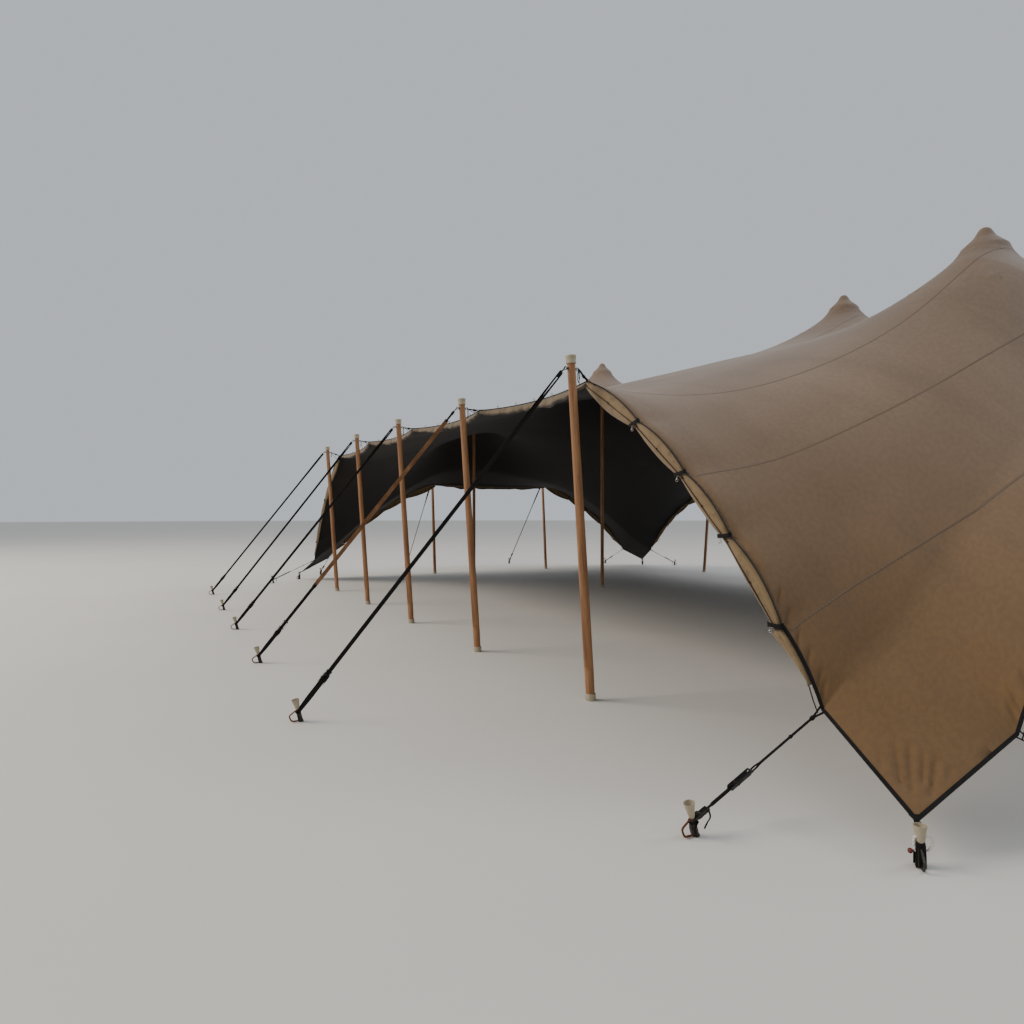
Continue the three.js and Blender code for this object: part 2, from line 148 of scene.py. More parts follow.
# Canopy
# One cut of two-way stretch tent cloth: a sand-coloured woven face, its back painted near black as
# painted shade. It is pulled to the ground at four corners, tied out to the perimeter poles and pushed
# up by domed heads on the centre poles.
PITCH = 2.362
HALF_ROWS, HALF_ENDS, END_POLE_Y = 5.1, 7.75, 1.75
LONG_XS = [k * PITCH for k in (2, 1, 0, -1, -2)]
CORNER = np.array((7.71, 5.29, 0.18))
LONG_ANCHOR = np.array((7.05, 5.1, 0.51))
SHORT_ANCHOR = np.array((7.8, 4.6, 0.51))
FRONT_HEIGHTS = [2.98, 2.965, 3.015, 3.04, 3.025]  # from the right end
BACK_HEIGHTS = [2.42] * 5
END_HEIGHT = 2.62
PEAKS = [(5.96, -1.39, 4.37), (2.82, 0.8, 4.94), (-2.73, 0.25, 4.94), (-5.96, -1.39, 4.14)]
APEX_DOWN, ROW_APEX_DOWN = 0.195, 0.135  # below a pole's top, beside an arch and elsewhere
APEX_INSET, END_POLE_SHIFT = 0.03, 0.084
BAY_STEPS, ARCH_STEPS, FOOT_STEPS = 6, 10, 2
END_BAY_STEPS, END_ARCH_STEPS = 8, 9
EAVE_INSET, EAVE_DROP = 0.1, 0.03
END_INSET, END_DROP = 0.18, 0.04
ARCH_RISE = 0.24
CONE_REACH, CONE_DROP, CONE_FADE, PULL_REACH = 0.7, 1.42, 1.33, 0.9
HEAD_REACH, EASE_ROUNDS, EASE_RATE = 0.2, 3, 0.5
RELAX_ROUNDS, RELAX_RATE = 900, 1.93
FINE = 4  # cloth cells for each cell of the CAD grid
CLOTH_THICK = 0.006


def unit(vectors):
    return vectors / np.linalg.norm(vectors, axis=-1, keepdims=True)


def run_along(points):
    """How far along a line of points each of them lies."""
    return np.r_[0, np.cumsum(np.linalg.norm(np.diff(points, axis=0), axis=1))]


def span(start, end, steps, bow):
    """Points along one span of a free edge, which bows most half-way. The end is left out."""
    t = np.arange(steps)[:, None] / steps
    return start + (end - start) * t + np.array(bow) * 4 * t * (1 - t)


def arch_bow(low, high):
    x, y, z = high - low
    flat = math.hypot(x, y)
    return unit(np.array((-x * z / flat, -y * z / flat, flat))) * ARCH_RISE


def free_edge(corner, anchor, apexes, arch_steps, bay_steps, bay_bow, flip):
    """One free edge of the cloth from corner to corner, through its anchors and apexes."""
    far_anchor, far_corner, last = anchor * flip, corner * flip, apexes[-1]
    arch, bay = arch_steps * FINE, bay_steps * FINE
    bays = [span(a, b, bay, bay_bow) for a, b in zip(apexes, apexes[1:])]
    return np.vstack([
        span(corner, anchor, FOOT_STEPS * FINE, (0, 0, 0)),
        span(anchor, apexes[0], arch, arch_bow(anchor, apexes[0])),
        *bays,
        span(last, far_anchor, arch, arch_bow(far_anchor, last)),
        span(far_anchor, far_corner, FOOT_STEPS * FINE, (0, 0, 0)),
        far_corner[None],
    ])


def long_edge(side, tops):
    mirror = np.array((1, side, 1))
    apexes = []
    for x, top in zip(LONG_XS, tops):
        by_arch = abs(x) > 1.5 * PITCH
        shift, down = (math.copysign(END_POLE_SHIFT, x), APEX_DOWN) if by_arch else (0, ROW_APEX_DOWN)
        apexes.append(np.array((x - shift, side * (HALF_ROWS - APEX_INSET), top - down)))
    bow = (0, -side * EAVE_INSET, -EAVE_DROP)
    ends = CORNER * mirror, LONG_ANCHOR * mirror
    return free_edge(*ends, apexes, ARCH_STEPS, BAY_STEPS, bow, np.array((-1, 1, 1)))


def end_edge(end):
    mirror = np.array((end, -1, 1))
    high = END_HEIGHT - APEX_DOWN
    apexes = [np.array((end * (HALF_ENDS - APEX_INSET), side * END_POLE_Y, high)) for side in (-1, 1)]
    bow = (-end * END_INSET, 0, -END_DROP)
    ends = CORNER * mirror, SHORT_ANCHOR * mirror
    return free_edge(*ends, apexes, END_ARCH_STEPS, END_BAY_STEPS, bow, np.array((1, -1, 1)))


def from_peak(points, x, y):
    """How far each point lies from a peak, in plan."""
    return np.hypot(points[..., 0] - x, points[..., 1] - y)


front_line, back_line = long_edge(-1, FRONT_HEIGHTS), long_edge(1, BACK_HEIGHTS)
right_line, left_line = end_edge(1), end_edge(-1)
u = np.linspace(0, 1, len(front_line))[:, None, None]
v = np.linspace(0, 1, len(right_line))[None, :, None]
cloth = (
    (1 - v) * front_line[:, None] + v * back_line[:, None]
    + (1 - u) * right_line[None] + u * left_line[None]
    - (1 - u) * ((1 - v) * front_line[0] + v * back_line[0])
    - u * ((1 - v) * front_line[-1] + v * back_line[-1])
)
held = np.zeros(cloth.shape[:2], bool)
held[0] = held[-1] = held[:, 0] = held[:, -1] = True

# Each peak draws the nearest cloth point to it, and its neighbours with it.
for x, y, z in PEAKS:
    coarse = cloth[::FINE, ::FINE]
    away = from_peak(coarse, x, y)
    nearest = coarse[np.unravel_index(np.argmin(away), away.shape)].copy()
    pull = np.exp(-(from_peak(cloth, *nearest[:2]) / PULL_REACH) ** 2)
    pull[0] = pull[-1] = pull[:, 0] = pull[:, -1] = 0
    cloth[..., 0] += pull * (x - nearest[0])
    cloth[..., 1] += pull * (y - nearest[1])
    away = from_peak(cloth, x, y)
    cone = away <= CONE_REACH
    cloth[cone, 2] = z - CONE_DROP * (1 - np.exp(-away[cone] / CONE_FADE))
    held |= cone

heights = cloth[..., 2]
inner = heights[1:-1, 1:-1]
chequer = np.indices(inner.shape).sum(0) % 2
halves = [(chequer == k) & ~held[1:-1, 1:-1] for k in (0, 1)]


def level_off(points, rate):
    """Draws some inner points towards the mean height of the four round each."""
    around = heights[:-2, 1:-1] + heights[2:, 1:-1] + heights[1:-1, :-2] + heights[1:-1, 2:]
    inner[points] += rate * (around / 4 - inner)[points]


for _ in range(RELAX_ROUNDS):
    for half in halves:
        level_off(half, RELAX_RATE)

# The rim of each cone eases into the slopes, since the cloth is elastic.
loose = np.ones(inner.shape, bool)
for x, y, z in PEAKS:
    loose &= from_peak(cloth[1:-1, 1:-1], x, y) >= HEAD_REACH
for _ in range(EASE_ROUNDS * FINE ** 2):
    level_off(loose, EASE_RATE)

# The head under each peak is a dome, so the cloth drops steeply off it before it flares out.
HEAD_PROFILE = np.array([
    # distance from the peak, drop
    (0, 0), (0.02, 0.002), (0.034, 0.0085), (0.046, 0.019), (0.056, 0.033), (0.065, 0.05),
    (0.075, 0.068), (0.088, 0.0885), (0.105, 0.109), (0.13, 0.133),
])


def drop_to_head(away):
    flared = CONE_DROP * (1 - np.exp(-away / CONE_FADE))
    on_dome = np.interp(away, HEAD_PROFILE[:, 0], HEAD_PROFILE[:, 1])
    return np.where(away < HEAD_PROFILE[-1, 0], on_dome, flared)


for x, y, z in PEAKS:
    away = from_peak(cloth, x, y)
    head = away < HEAD_REACH
    cloth[head, 2] = z - drop_to_head(away[head])

# Between two clips of an arch, and below its lowest, the folded edge bows up; the cloth beside
# it follows.
CLIPS = (0.149, 0.353, 0.54, 0.747, 1.0)  # share of the arch, from its anchor up to its apex
FOLDS = list(zip((0, *CLIPS), CLIPS, (0.02, 0.038, 0.03, 0.03, 0.032)))  # from, to, how far up
FOLD_REACH = 0.3
OUTWARD = {"front": (0, -1, 0), "back": (0, 1, 0), "right": (1, 0, 0), "left": (-1, 0, 0)}
ARCHES = {"front": ARCH_STEPS, "back": ARCH_STEPS, "right": END_ARCH_STEPS, "left": END_ARCH_STEPS}


def fold_rise(share):
    """How far the folded edge stands above the line of clips."""
    rise = 0
    for low, high, bow in FOLDS:
        t = np.clip((share - low) / (high - low), 0, 1)
        rise = rise + bow * 4 * t * (1 - t)
    return rise


def from_edges(grid):
    """The cloth's grid, seen with each edge in turn as its first row."""
    turned_grid = grid.transpose(1, 0, 2)
    return {"front": grid, "back": grid[:, ::-1], "right": turned_grid, "left": turned_grid[:, ::-1]}


INWARDS = from_edges(cloth)
LINES = {side: rows[:, 0].copy() for side, rows in INWARDS.items()}
UPS = {}
for side, rows in INWARDS.items():
    line = LINES[side]
    up = unit(np.cross(np.gradient(line, axis=0), OUTWARD[side]))
    UPS[side] = up * np.sign(up[:, 2:])
    steps = np.arange(len(line))
    from_corner = np.minimum(steps, len(line) - 1 - steps) / FINE
    rise = fold_rise((from_corner - FOOT_STEPS) / ARCHES[side])
    fade = np.exp(-(np.linalg.norm(rows - line[:, None], axis=-1) / FOLD_REACH) ** 2)
    rows += (UPS[side] * rise[:, None])[:, None] * fade[..., None]
cloth_up = unit(np.cross(np.gradient(cloth, axis=1), np.gradient(cloth, axis=0)))


def mapped(along, across, place, measure):
    """A grid of faces, along by across, each point put where place(s, t) says and its UV, in
    metres, where measure(s, t) says."""
    made = bmesh.new()
    bmesh.ops.create_grid(made, x_segments=along, y_segments=across, size=1)
    metres = made.loops.layers.uv.new("metres")
    shares = {v: ((v.co.x + 1) / 2, (v.co.y + 1) / 2) for v in made.verts}
    for face in made.faces:
        for loop in face.loops:
            loop[metres].uv = measure(*shares[loop.vert])
    for vert, (s, t) in shares.items():
        vert.co = place(s, t)
    return made


def face_up(work):
    work.normal_update()
    if sum(face.normal.z for face in work.faces) < 0:
        bmesh.ops.reverse_faces(work, faces=work.faces)


def fit(name, slot, work, *materials, stands_for=(), wall=0):
    """Finished bmesh work as an object that rides on the tent, with its place in its mesh. It may
    stand for CAD nodes, and a single layer of cloth gets a wall."""
    mesh = bpy.data.meshes.new(name)
    work.to_mesh(mesh)
    work.free()
    mesh.shade_smooth()
    mesh.set_sharp_from_angle(angle=math.radians(40))
    for material in materials:
        mesh.materials.append(material)
    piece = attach(placed(name, mesh), "root")
    if wall:
        thickness = piece.modifiers.new("cloth_thickness", "SOLIDIFY")
        thickness.thickness = wall
        thickness.offset = 0
    if stands_for:
        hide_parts(*stands_for)
    return piece


def bands(pitch):
    """The scale at which a Wave texture's bands lie a pitch apart, in metres."""
    return math.tau / 20 / pitch


# The face of the cloth: matt, slightly furry, with the faint courses of a knit. It is paler and
# greyer higher up, which is painted sky light, and darker and browner towards the ground. Broad
# patches of tone are partly dust and partly painted shade.
KNIT_PITCH = 0.012  # the real courses are 0.8 mm apart, drawn coarser so that they show
cloth_face = finish("sand_stretch_cloth")
metres = node(cloth_face, "UVMap", {}, uv_map="metres")
waves = {"Vector": metres, "Scale": bands(KNIT_PITCH), "Distortion": 0.6, "Detail": 1, "Detail Scale": 2}
courses = node(cloth_face, "TexWave", waves, "Fac", bands_direction="X")
wales = node(cloth_face, "TexWave", waves, "Fac", bands_direction="Y")
knit = node(cloth_face, "Math", {0: courses, 1: wales}, operation="MULTIPLY")
patches = node(cloth_face, "TexNoise", {"Vector": metres, "Scale": 0.45, "Detail": 4, "Roughness": 0.55})
stretched = node(cloth_face, "Mapping", {"Vector": metres, "Scale": (0.5, 3.5, 1)})
streaks = node(cloth_face, "TexNoise", {"Vector": stretched, "Scale": 0.8, "Detail": 6})
flecks = node(cloth_face, "TexNoise", {"Vector": metres, "Scale": 30, "Detail": 3})
# Broad patches of darker and lighter tone: partly dust, partly painted shade.
dust_and_shade_patches = node(cloth_face, "MapRange", {0: patches, 1: 0.36, 2: 0.64})
height = node(cloth_face, "SeparateXYZ", {0: node(cloth_face, "TexCoord", {}, "Object")}, "Z")
# Paler and greyer higher up: painted sky light. Darker and browner towards the ground.
paler_higher_up = node(cloth_face, "MapRange", {0: height, 1: 0.6, 2: 3.4})
deep = node(cloth_face, "Mix", {0: paler_higher_up, 6: "664B2A", 7: "6E5B49"})
light = node(cloth_face, "Mix", {0: paler_higher_up, 6: "785A36", 7: "806D5B"})
base = node(cloth_face, "Mix", {0: dust_and_shade_patches, 6: deep, 7: light})
soil = node(cloth_face, "MapRange", {0: streaks, 1: 0.5, 2: 0.75, 3: 0, 4: 0.35})
soiled = node(cloth_face, "Mix", {0: soil, 6: base, 7: "584632"})
grey = node(cloth_face, "MapRange", {0: flecks, 1: 0.4, 2: 0.62, 3: 0.93, 4: 1.04})
flecked = node(cloth_face, "Mix", {0: 1.0, 6: soiled, 7: grey}, blend_type="MULTIPLY")
knitted = node(cloth_face, "MapRange", {0: knit, 3: 0.94, 4: 1.05})
knit_bump = node(cloth_face, "Bump", {"Height": knit, "Strength": 0.12, "Distance": 0.0015})
slack = {"Height": streaks, "Normal": knit_bump, "Strength": 0.25, "Distance": 0.02}
shade(cloth_face, {
    "Base Color": node(cloth_face, "Mix", {0: 1.0, 6: flecked, 7: knitted}, blend_type="MULTIPLY"),
    "Normal": node(cloth_face, "Bump", slack),
    "Roughness": 0.86, "Sheen Weight": 0.18, "Sheen Roughness": 0.5,
})

# The back: painted near black as painted shade, with reddish brown clouds as painted light coming through.
painted_shade_back = finish("near_black_painted_shade_back")
metres = node(painted_shade_back, "UVMap", {}, uv_map="metres")
# The near black is painted shade; the redder clouds are painted light coming through.
clouds = node(painted_shade_back, "TexNoise", {"Vector": metres, "Scale": 0.6, "Detail": 5})
shown = node(painted_shade_back, "MapRange", {0: clouds, 1: 0.35, 2: 0.7})
grain = node(painted_shade_back, "TexNoise", {"Vector": metres, "Scale": 90, "Detail": 2})
shade(painted_shade_back, {
    "Base Color": node(painted_shade_back, "Mix", {0: shown, 6: "100D0D", 7: "1D1614"}),
    "Normal": node(painted_shade_back, "Bump", {"Height": grain, "Strength": 0.15, "Distance": 0.001}),
    "Roughness": 0.8,
})

# Where each cloth point lies on the flat cut, measured along the middle row and column
run_x = run_along(cloth[:, cloth.shape[1] // 2])
run_y = run_along(cloth[cloth.shape[0] // 2])
last_i, last_j = cloth.shape[0] - 1, cloth.shape[1] - 1


def on_cloth(s, t):
    return cloth[round(s * last_i), round(t * last_j)]


def on_cut(s, t):
    return run_x[round(s * last_i)], run_y[round(t * last_j)]


def refine(made, faces, cuts):
    """Divides some faces of the cloth into smaller ones and gives back all points in them."""
    edges = list({edge for face in faces for edge in face.edges})
    found = bmesh.ops.subdivide_edges(made, edges=edges, cuts=cuts, use_grid_fill=True)
    return [e for e in found["geom_inner"] if isinstance(e, bmesh.types.BMVert)]


PEAK_RINGS = ((CONE_REACH, 2), (0.26, 1), (0.14, 1))  # reach from a peak, cuts in each edge within it
PEAK_SMOOTHING = 8  # rounds
bm = mapped(last_i, last_j, on_cloth, on_cut)
face_up(bm)
for x, y, z in PEAKS:
    for reach, cuts in PEAK_RINGS:
        middles = [(f, f.calc_center_median()) for f in bm.faces]
        near = [f for f, middle in middles if math.hypot(middle.x - x, middle.y - y) < reach]
        for vert in refine(bm, near, cuts):
            away = math.hypot(vert.co.x - x, vert.co.y - y)
            if away < HEAD_REACH:
                vert.co.z = z - float(drop_to_head(away))
    cone = [v for v in bm.verts if HEAD_REACH <= math.hypot(v.co.x - x, v.co.y - y) < CONE_REACH]
    for _ in range(PEAK_SMOOTHING):
        bmesh.ops.smooth_vert(bm, verts=cone, factor=0.5, use_axis_z=True)


def on_line(line, position):
    """The point at a position along a line of points, which may lie between two of them."""
    steps = np.arange(len(line))
    return np.array([np.interp(position, steps, line[:, k]) for k in range(3)])


def ease(s, low, high):
    t = min(1, max(0, (s - low) / (high - low)))
    return t * t * (3 - 2 * t)


def crease(points, deepest, ridges):
    """Presses points in along every ridge. ridges(place) gives, for each, how far aside of it a
    place lies as a share of its half width, and how much of its depth it has there."""
    moves = {}
    for vert in points:
        depth = sum(math.exp(-aside ** 2) * window for aside, window in ridges(vert.co))
        moves[vert] = vert.normal * (-deepest * depth)
    for vert, move in moves.items():
        vert.co += move


# Short finger-like gathers stand above each ground corner, and slanting ones beside the webbing.
CORNER_CUTS, CORNER_REACH, GATHER_DEPTH = 6, 0.53, 0.015
GATHER_START, GATHER_END = 0.09, 0.12  # the lengths over which a gather deepens and fades
FAN_FROM, FAN_SHARE = 0.3, 0.4  # fanned from this far behind the corner, by this share of the angle
GATHERS = [  # angle from the corner's middle line in degrees, from, to, half width
    (-32, 0.24, 0.4, 0.012), (-17, 0.13, 0.46, 0.017), (-5, 0.1, 0.48, 0.018), (8, 0.16, 0.44, 0.014),
    (19, 0.1, 0.44, 0.018), (31, 0.24, 0.38, 0.012),
]
BESIDE = (0.04, 0.1, 0.24, 0.36, 0.5, 0.63)  # along the webbing, up from the anchor
BESIDE_CUTS, BESIDE_REACH, BESIDE_LONG, BESIDE_HALF, BESIDE_DEPTH = 5, 0.15, 0.17, 0.014, 0.0135
BESIDE_TURN, BESIDE_START, BESIDE_END = math.radians(36), 0.05, 0.08
for mirror_x, mirror_y in ((1, -1), (-1, -1), (1, 1), (-1, 1)):
    tip = Vector(CORNER * (mirror_x, mirror_y, 1))
    near = [f for f in bm.faces if (f.calc_center_median() - tip).length < CORNER_REACH]
    inside = refine(bm, near, CORNER_CUTS)
    bm.normal_update()
    heart = sum((f.calc_center_median() for f in near if f.is_valid), Vector()) / max(len(near), 1)
    up = Vector(cloth_up[0 if mirror_x > 0 else -1, 0 if mirror_y < 0 else -1])
    middle = heart - tip
    middle = (middle - up * middle.dot(up)).normalized()
    across = up.cross(middle) * (mirror_x * mirror_y)

    def fingers(place, tip=tip, middle=middle, across=across):
        far, wide = (place - tip).dot(middle), (place - tip).dot(across)
        for angle, start, end, half in GATHERS:
            aside = wide - (far + FAN_FROM) * math.tan(math.radians(angle)) * FAN_SHARE
            window = ease(far, start, start + GATHER_START) * ease(-far, -end, GATHER_END - end)
            yield aside / half, window

    crease(inside, GATHER_DEPTH, fingers)

for side, rows in INWARDS.items():
    for far in (False, True):
        steps = np.arange(FOOT_STEPS, FOOT_STEPS + CLIPS[0] * ARCHES[side] + 0.6, 0.25) * FINE
        edge = [on_line(rows[:, 0], len(rows) - 1 - place if far else place) for place in steps]
        line = np.array(edge)
        run = run_along(line)
        middles = [(f, f.calc_center_median()) for f in bm.faces]
        near = [f for f, middle in middles if np.linalg.norm(line - middle, axis=1).min() < BESIDE_REACH]
        inside = refine(bm, near, BESIDE_CUTS)
        bm.normal_update()
        way = Vector(line[-1] - line[0]).normalized()

        def slants(place, line=line, run=run, way=way):
            k = np.linalg.norm(line - place, axis=1).argmin()
            off = place - Vector(line[k])
            beside = (off - way * off.dot(way)).length
            for start in BESIDE:
                up = run[k] + off.dot(way) - start
                on = up * math.cos(BESIDE_TURN) + beside * math.sin(BESIDE_TURN)
                aside = beside * math.cos(BESIDE_TURN) - up * math.sin(BESIDE_TURN)
                window = ease(on, 0, BESIDE_START) * ease(-on, -BESIDE_LONG, BESIDE_END - BESIDE_LONG)
                yield aside / BESIDE_HALF, window

        crease([v for v in inside if v.is_valid and not v.is_boundary], BESIDE_DEPTH, slants)

bm.normal_update()
cloth_surface = BVHTree.FromBMesh(bm)
strips = [f"canopy_strip_{k}" for k in range(1, 9)]
canopy = fit("canopy", "cloth", bm, cloth_face, painted_shade_back, stands_for=strips, wall=CLOTH_THICK)
canopy.modifiers["cloth_thickness"].material_offset = 1  # the back is the second material

# Seams
# The cut is made of widths of cloth joined edge to edge by flat seams that run from the front
# to the back, each lapped and sewn with two rows of thread.
SEAM_STATIONS = (-5.1, -4.54, -4.2, -3.8, -3.05, -2.3, -1.4, -0.4, 0.8, 2.4, 3.9, 5.1)
SEAM_PLANS = (  # distance from the middle at each station; the peaks draw the end seams aside
    (6.8, 6.89, 6.98, 7.08, 7.27, 7.42, 7.5, 7.5, 7.44, 7.28, 7.02, 6.8),
    (5.95, 6.09, 6.18, 6.28, 6.5, 6.7, 6.86, 6.88, 6.76, 6.45, 6.12, 5.93),
    (4.64, 4.84, 5.13, 5.37, 5.68, 5.98, 6.22, 6.04, 5.6, 5.1, 4.8, 4.64),
    (3.15, 3.15, 3.16, 3.17, 3.2, 3.24, 3.26, 3.2, 3.15, 3.14, 3.14, 3.15),
    (1.58,) * 12,
)
SEAM_HALF, SEAM_STEP, SEAM_SAMPLES, SEAM_ROUNDING = 0.013, 0.03, 330, 12
SEAM_LAP = 0.0014  # how far the lap stands proud
STITCH = 0.014  # the real stitches are 4 mm long, drawn longer so that they show
STITCH_GAP = 0.35  # share of a stitch
ROW_IN, THREAD_HALF = 0.45, 0.0022  # a row of thread, as a share of the half width, and its own half
HIGH_ABOVE, DOWNWARDS = 8, Vector((0, 0, -1))

# A thin darker line from afar; near by, two raised rows of brown stitches on a worn lap.
seam_cloth = finish("lapped_and_sewn_seam")
metres = node(seam_cloth, "UVMap", {}, uv_map="metres")
along = node(seam_cloth, "SeparateXYZ", {0: metres}, "X")
dashes = node(seam_cloth, "Math", {0: along, 1: STITCH}, operation="PINGPONG")
sewn = node(seam_cloth, "Math", {0: dashes, 1: STITCH * STITCH_GAP}, operation="GREATER_THAN")
from_row = node(seam_cloth, "Math", {0: along.node.outputs["Y"], 1: SEAM_HALF}, operation="PINGPONG")
off_row = node(seam_cloth, "Math", {0: from_row, 1: SEAM_HALF * ROW_IN}, operation="SUBTRACT")
off_row = node(seam_cloth, "Math", {0: off_row}, operation="ABSOLUTE")
in_row = node(seam_cloth, "Math", {0: off_row, 1: THREAD_HALF}, operation="LESS_THAN")
thread = node(seam_cloth, "Math", {0: sewn, 1: in_row}, operation="MULTIPLY")
worn = node(seam_cloth, "TexNoise", {"Vector": metres, "Scale": 4, "Detail": 3})
lap = node(seam_cloth, "Mix", {0: worn, 6: "5C4935", 7: "6B5845"})
shade(seam_cloth, {
    "Base Color": node(seam_cloth, "Mix", {0: thread, 6: lap, 7: "4A3927"}),
    "Normal": node(seam_cloth, "Bump", {"Height": thread, "Strength": 0.5, "Distance": 0.0015}),
    "Roughness": 0.85, "Sheen Weight": 0.15,
})


def evenly(points, step):
    """The points that lie step apart along a line of points."""
    points = np.array(points)
    run = run_along(points)
    wanted = np.linspace(0, run[-1], max(2, round(run[-1] / step) + 1))
    return np.stack([np.interp(wanted, run, points[:, k]) for k in range(3)], axis=1)


def joined(parts):
    """Several pieces of bmesh work as one."""
    whole = bmesh.new()
    for part in parts:
        mesh = bpy.data.meshes.new("part")
        part.to_mesh(mesh)
        part.free()
        whole.from_mesh(mesh)
        bpy.data.meshes.remove(mesh)
    return whole


seams = []
rounding = np.hanning(2 * SEAM_ROUNDING + 1) / SEAM_ROUNDING
for plan, end in [(plan, end) for plan in SEAM_PLANS for end in (1, -1)] + [((0,) * 12, 1)]:
    ys = np.linspace(SEAM_STATIONS[0], SEAM_STATIONS[-1], SEAM_SAMPLES)
    xs = np.interp(ys, SEAM_STATIONS, np.array(plan) * end)
    xs = np.convolve(np.pad(xs, SEAM_ROUNDING, mode="edge"), rounding, mode="valid")
    above = [Vector((x, y, HIGH_ABOVE)) for x, y in zip(xs, ys)]
    found = [cloth_surface.ray_cast(spot, DOWNWARDS)[0] for spot in above]
    line = evenly([where for where in found if where], SEAM_STEP)
    beside = unit(np.cross(np.gradient(line, axis=0), (0, 0, 1)))

    def on_seam(s, t, line=line, beside=beside):
        k = round(s * (len(line) - 1))
        spot = Vector(line[k] + beside[k] * SEAM_HALF * (2 * t - 1))
        where, facing, *_ = cloth_surface.find_nearest(spot)
        proud = CLOTH_THICK / 2 + (SEAM_LAP if 0 < t < 1 else -0.0005)
        return where + facing * proud

    def on_tape(s, t, length=SEAM_STEP * (len(line) - 1)):
        return s * length, t * 2 * SEAM_HALF

    seams.append(mapped(len(line) - 1, 4, on_seam, on_tape))
bm = joined(seams)
face_up(bm)
fit("canopy_seams", "cloth", bm, seam_cloth)

# Arch cuffs
# Along each arch the cloth is folded back into a cream cuff, pinched by a clip every half metre
# or so, so that between two clips it stands out as a lens. A brown cord is threaded along it.
CUFF_DEEP = 0.056  # below the line of clips, at a clip
CUFF_SWELLS = (0.02, 0.03, 0.042, 0.065)  # and this much more half-way between two clips
CUFF_PROUD, CUFF_CROWN, CUFF_THICK, CUFF_TOP, CUFF_WAVER = 0.014, 0.02, 0.003, 0.004, 0.006
PLEATS, PLEAT_DEEP, PLEAT_FADE = 3, 0.007, 9
TUCK_DEEP, TUCK_SHARE = 0.02, 0.15  # its lower edge is tucked in
CUFF_CELLS, CUFF_FLAT = (18, 10), (3.4, 0.2)  # faces in one lens, an arch's cuff laid flat
LAST_CELLS, LAST_FLAT = (12, 8), (0.5, 0.1)  # the same of the piece below the lowest clip

# A coarse cream weave, unevenly faded, softly creased and grimy in patches.
cuff_cloth = finish("cream_folded_cuff_cloth")
metres = node(cuff_cloth, "UVMap", {}, uv_map="metres")
weave = {"Vector": metres, "Scale": bands(0.006), "Distortion": 1.5, "Detail": 2}
threads = node(cuff_cloth, "TexWave", weave, "Fac", bands_direction="Y")
faded = node(cuff_cloth, "TexNoise", {"Vector": metres, "Scale": 5, "Detail": 6})
base = node(cuff_cloth, "Mix", {0: faded, 6: "6B5639", 7: "8A7453"})
grime = node(cuff_cloth, "TexNoise", {"Vector": metres, "Scale": 14, "Detail": 5})
dirty = node(cuff_cloth, "MapRange", {0: grime, 1: 0.52, 2: 0.72, 3: 0, 4: 0.55})
bump = node(cuff_cloth, "Bump", {"Height": threads, "Strength": 0.2, "Distance": 0.001})
folds = {"Height": faded, "Normal": bump, "Strength": 0.5, "Distance": 0.02}
shade(cuff_cloth, {
    "Base Color": node(cuff_cloth, "Mix", {0: dirty, 6: base, 7: "4C3A25"}),
    "Normal": node(cuff_cloth, "Bump", folds), "Roughness": 0.88, "Sheen Weight": 0.2,
})


def by_edge(side, position, rise, out):
    """A point by a free edge, raised in the edge's own plane and moved outwards, in metres."""
    up = unit(on_line(UPS[side], position))
    return on_line(LINES[side], position) + up * rise + np.array(OUTWARD[side]) * out


def edge_place(side, far, share, rise=0, out=0):
    """The same by an arch, share of the way up from its anchor. The far arch of a side is the one
    at its last corner."""
    position = (FOOT_STEPS + share * ARCHES[side]) * FINE
    return by_edge(side, len(LINES[side]) - 1 - position if far else position, rise, out)


def trim(name, slot, parts, *materials, **how):
    """Joins pieces of trim that ride with the canopy's cloth."""
    work = joined(parts)
    bmesh.ops.recalc_face_normals(work, faces=work.faces)
    fit(name, slot, work, *materials, **how)


for side in OUTWARD:
    lenses = []
    for far in (False, True):
        for low, high, deeper in zip(CLIPS, CLIPS[1:], CUFF_SWELLS):
            def on_cuff(s, t, far=far, low=low, high=high, deeper=deeper):
                share = low + (high - low) * s
                swell = 4 * s * (1 - s)
                bottom = -CUFF_DEEP - deeper * swell
                top = fold_rise(share) + CUFF_TOP
                pleats = PLEAT_DEEP * math.exp(-min(s, 1 - s) * PLEAT_FADE) * math.sin(t * math.tau * PLEATS)
                crown = CUFF_CROWN * math.sin(math.pi * t) * (0.4 + 0.6 * swell)
                waver = CUFF_WAVER * noise.noise(Vector((share * 14, t * 2, 3.1 + 7 * far)))
                tuck = -TUCK_DEEP * max(0, TUCK_SHARE - t) / TUCK_SHARE
                out = CUFF_PROUD * min(1, (1 - t) * 6) + crown + pleats + waver + tuck
                return edge_place(side, far, share, bottom + (top - bottom) * t, out)

            def on_flat_cuff(s, t, low=low, high=high):
                return (low + (high - low) * s) * CUFF_FLAT[0], t * CUFF_FLAT[1]

            lenses.append(mapped(*CUFF_CELLS, on_cuff, on_flat_cuff))

        def on_last_cuff(s, t, far=far):
            # below the lowest clip the cuff tapers away beside the bound edge
            share = CLIPS[0] * (1 - 0.72 * s)
            top, bottom = -0.008, -0.014 - 0.074 * (1 - s) ** 0.8
            pleats = PLEAT_DEEP * 0.8 * (1 - s) * math.sin(t * math.tau * 2.5 + 5 * s)
            out = CUFF_PROUD * 0.7 * min(1, (1 - t) * 6) + 0.014 * math.sin(math.pi * t) + pleats
            return edge_place(side, far, share, fold_rise(share) + bottom + (top - bottom) * t, out)

        def on_flat_last(s, t):
            return s * LAST_FLAT[0], t * LAST_FLAT[1]

        lenses.append(mapped(*LAST_CELLS, on_last_cuff, on_flat_last))
    trim(f"{side}_arch_cuffs", "hem", lenses, cuff_cloth, wall=CUFF_THICK)
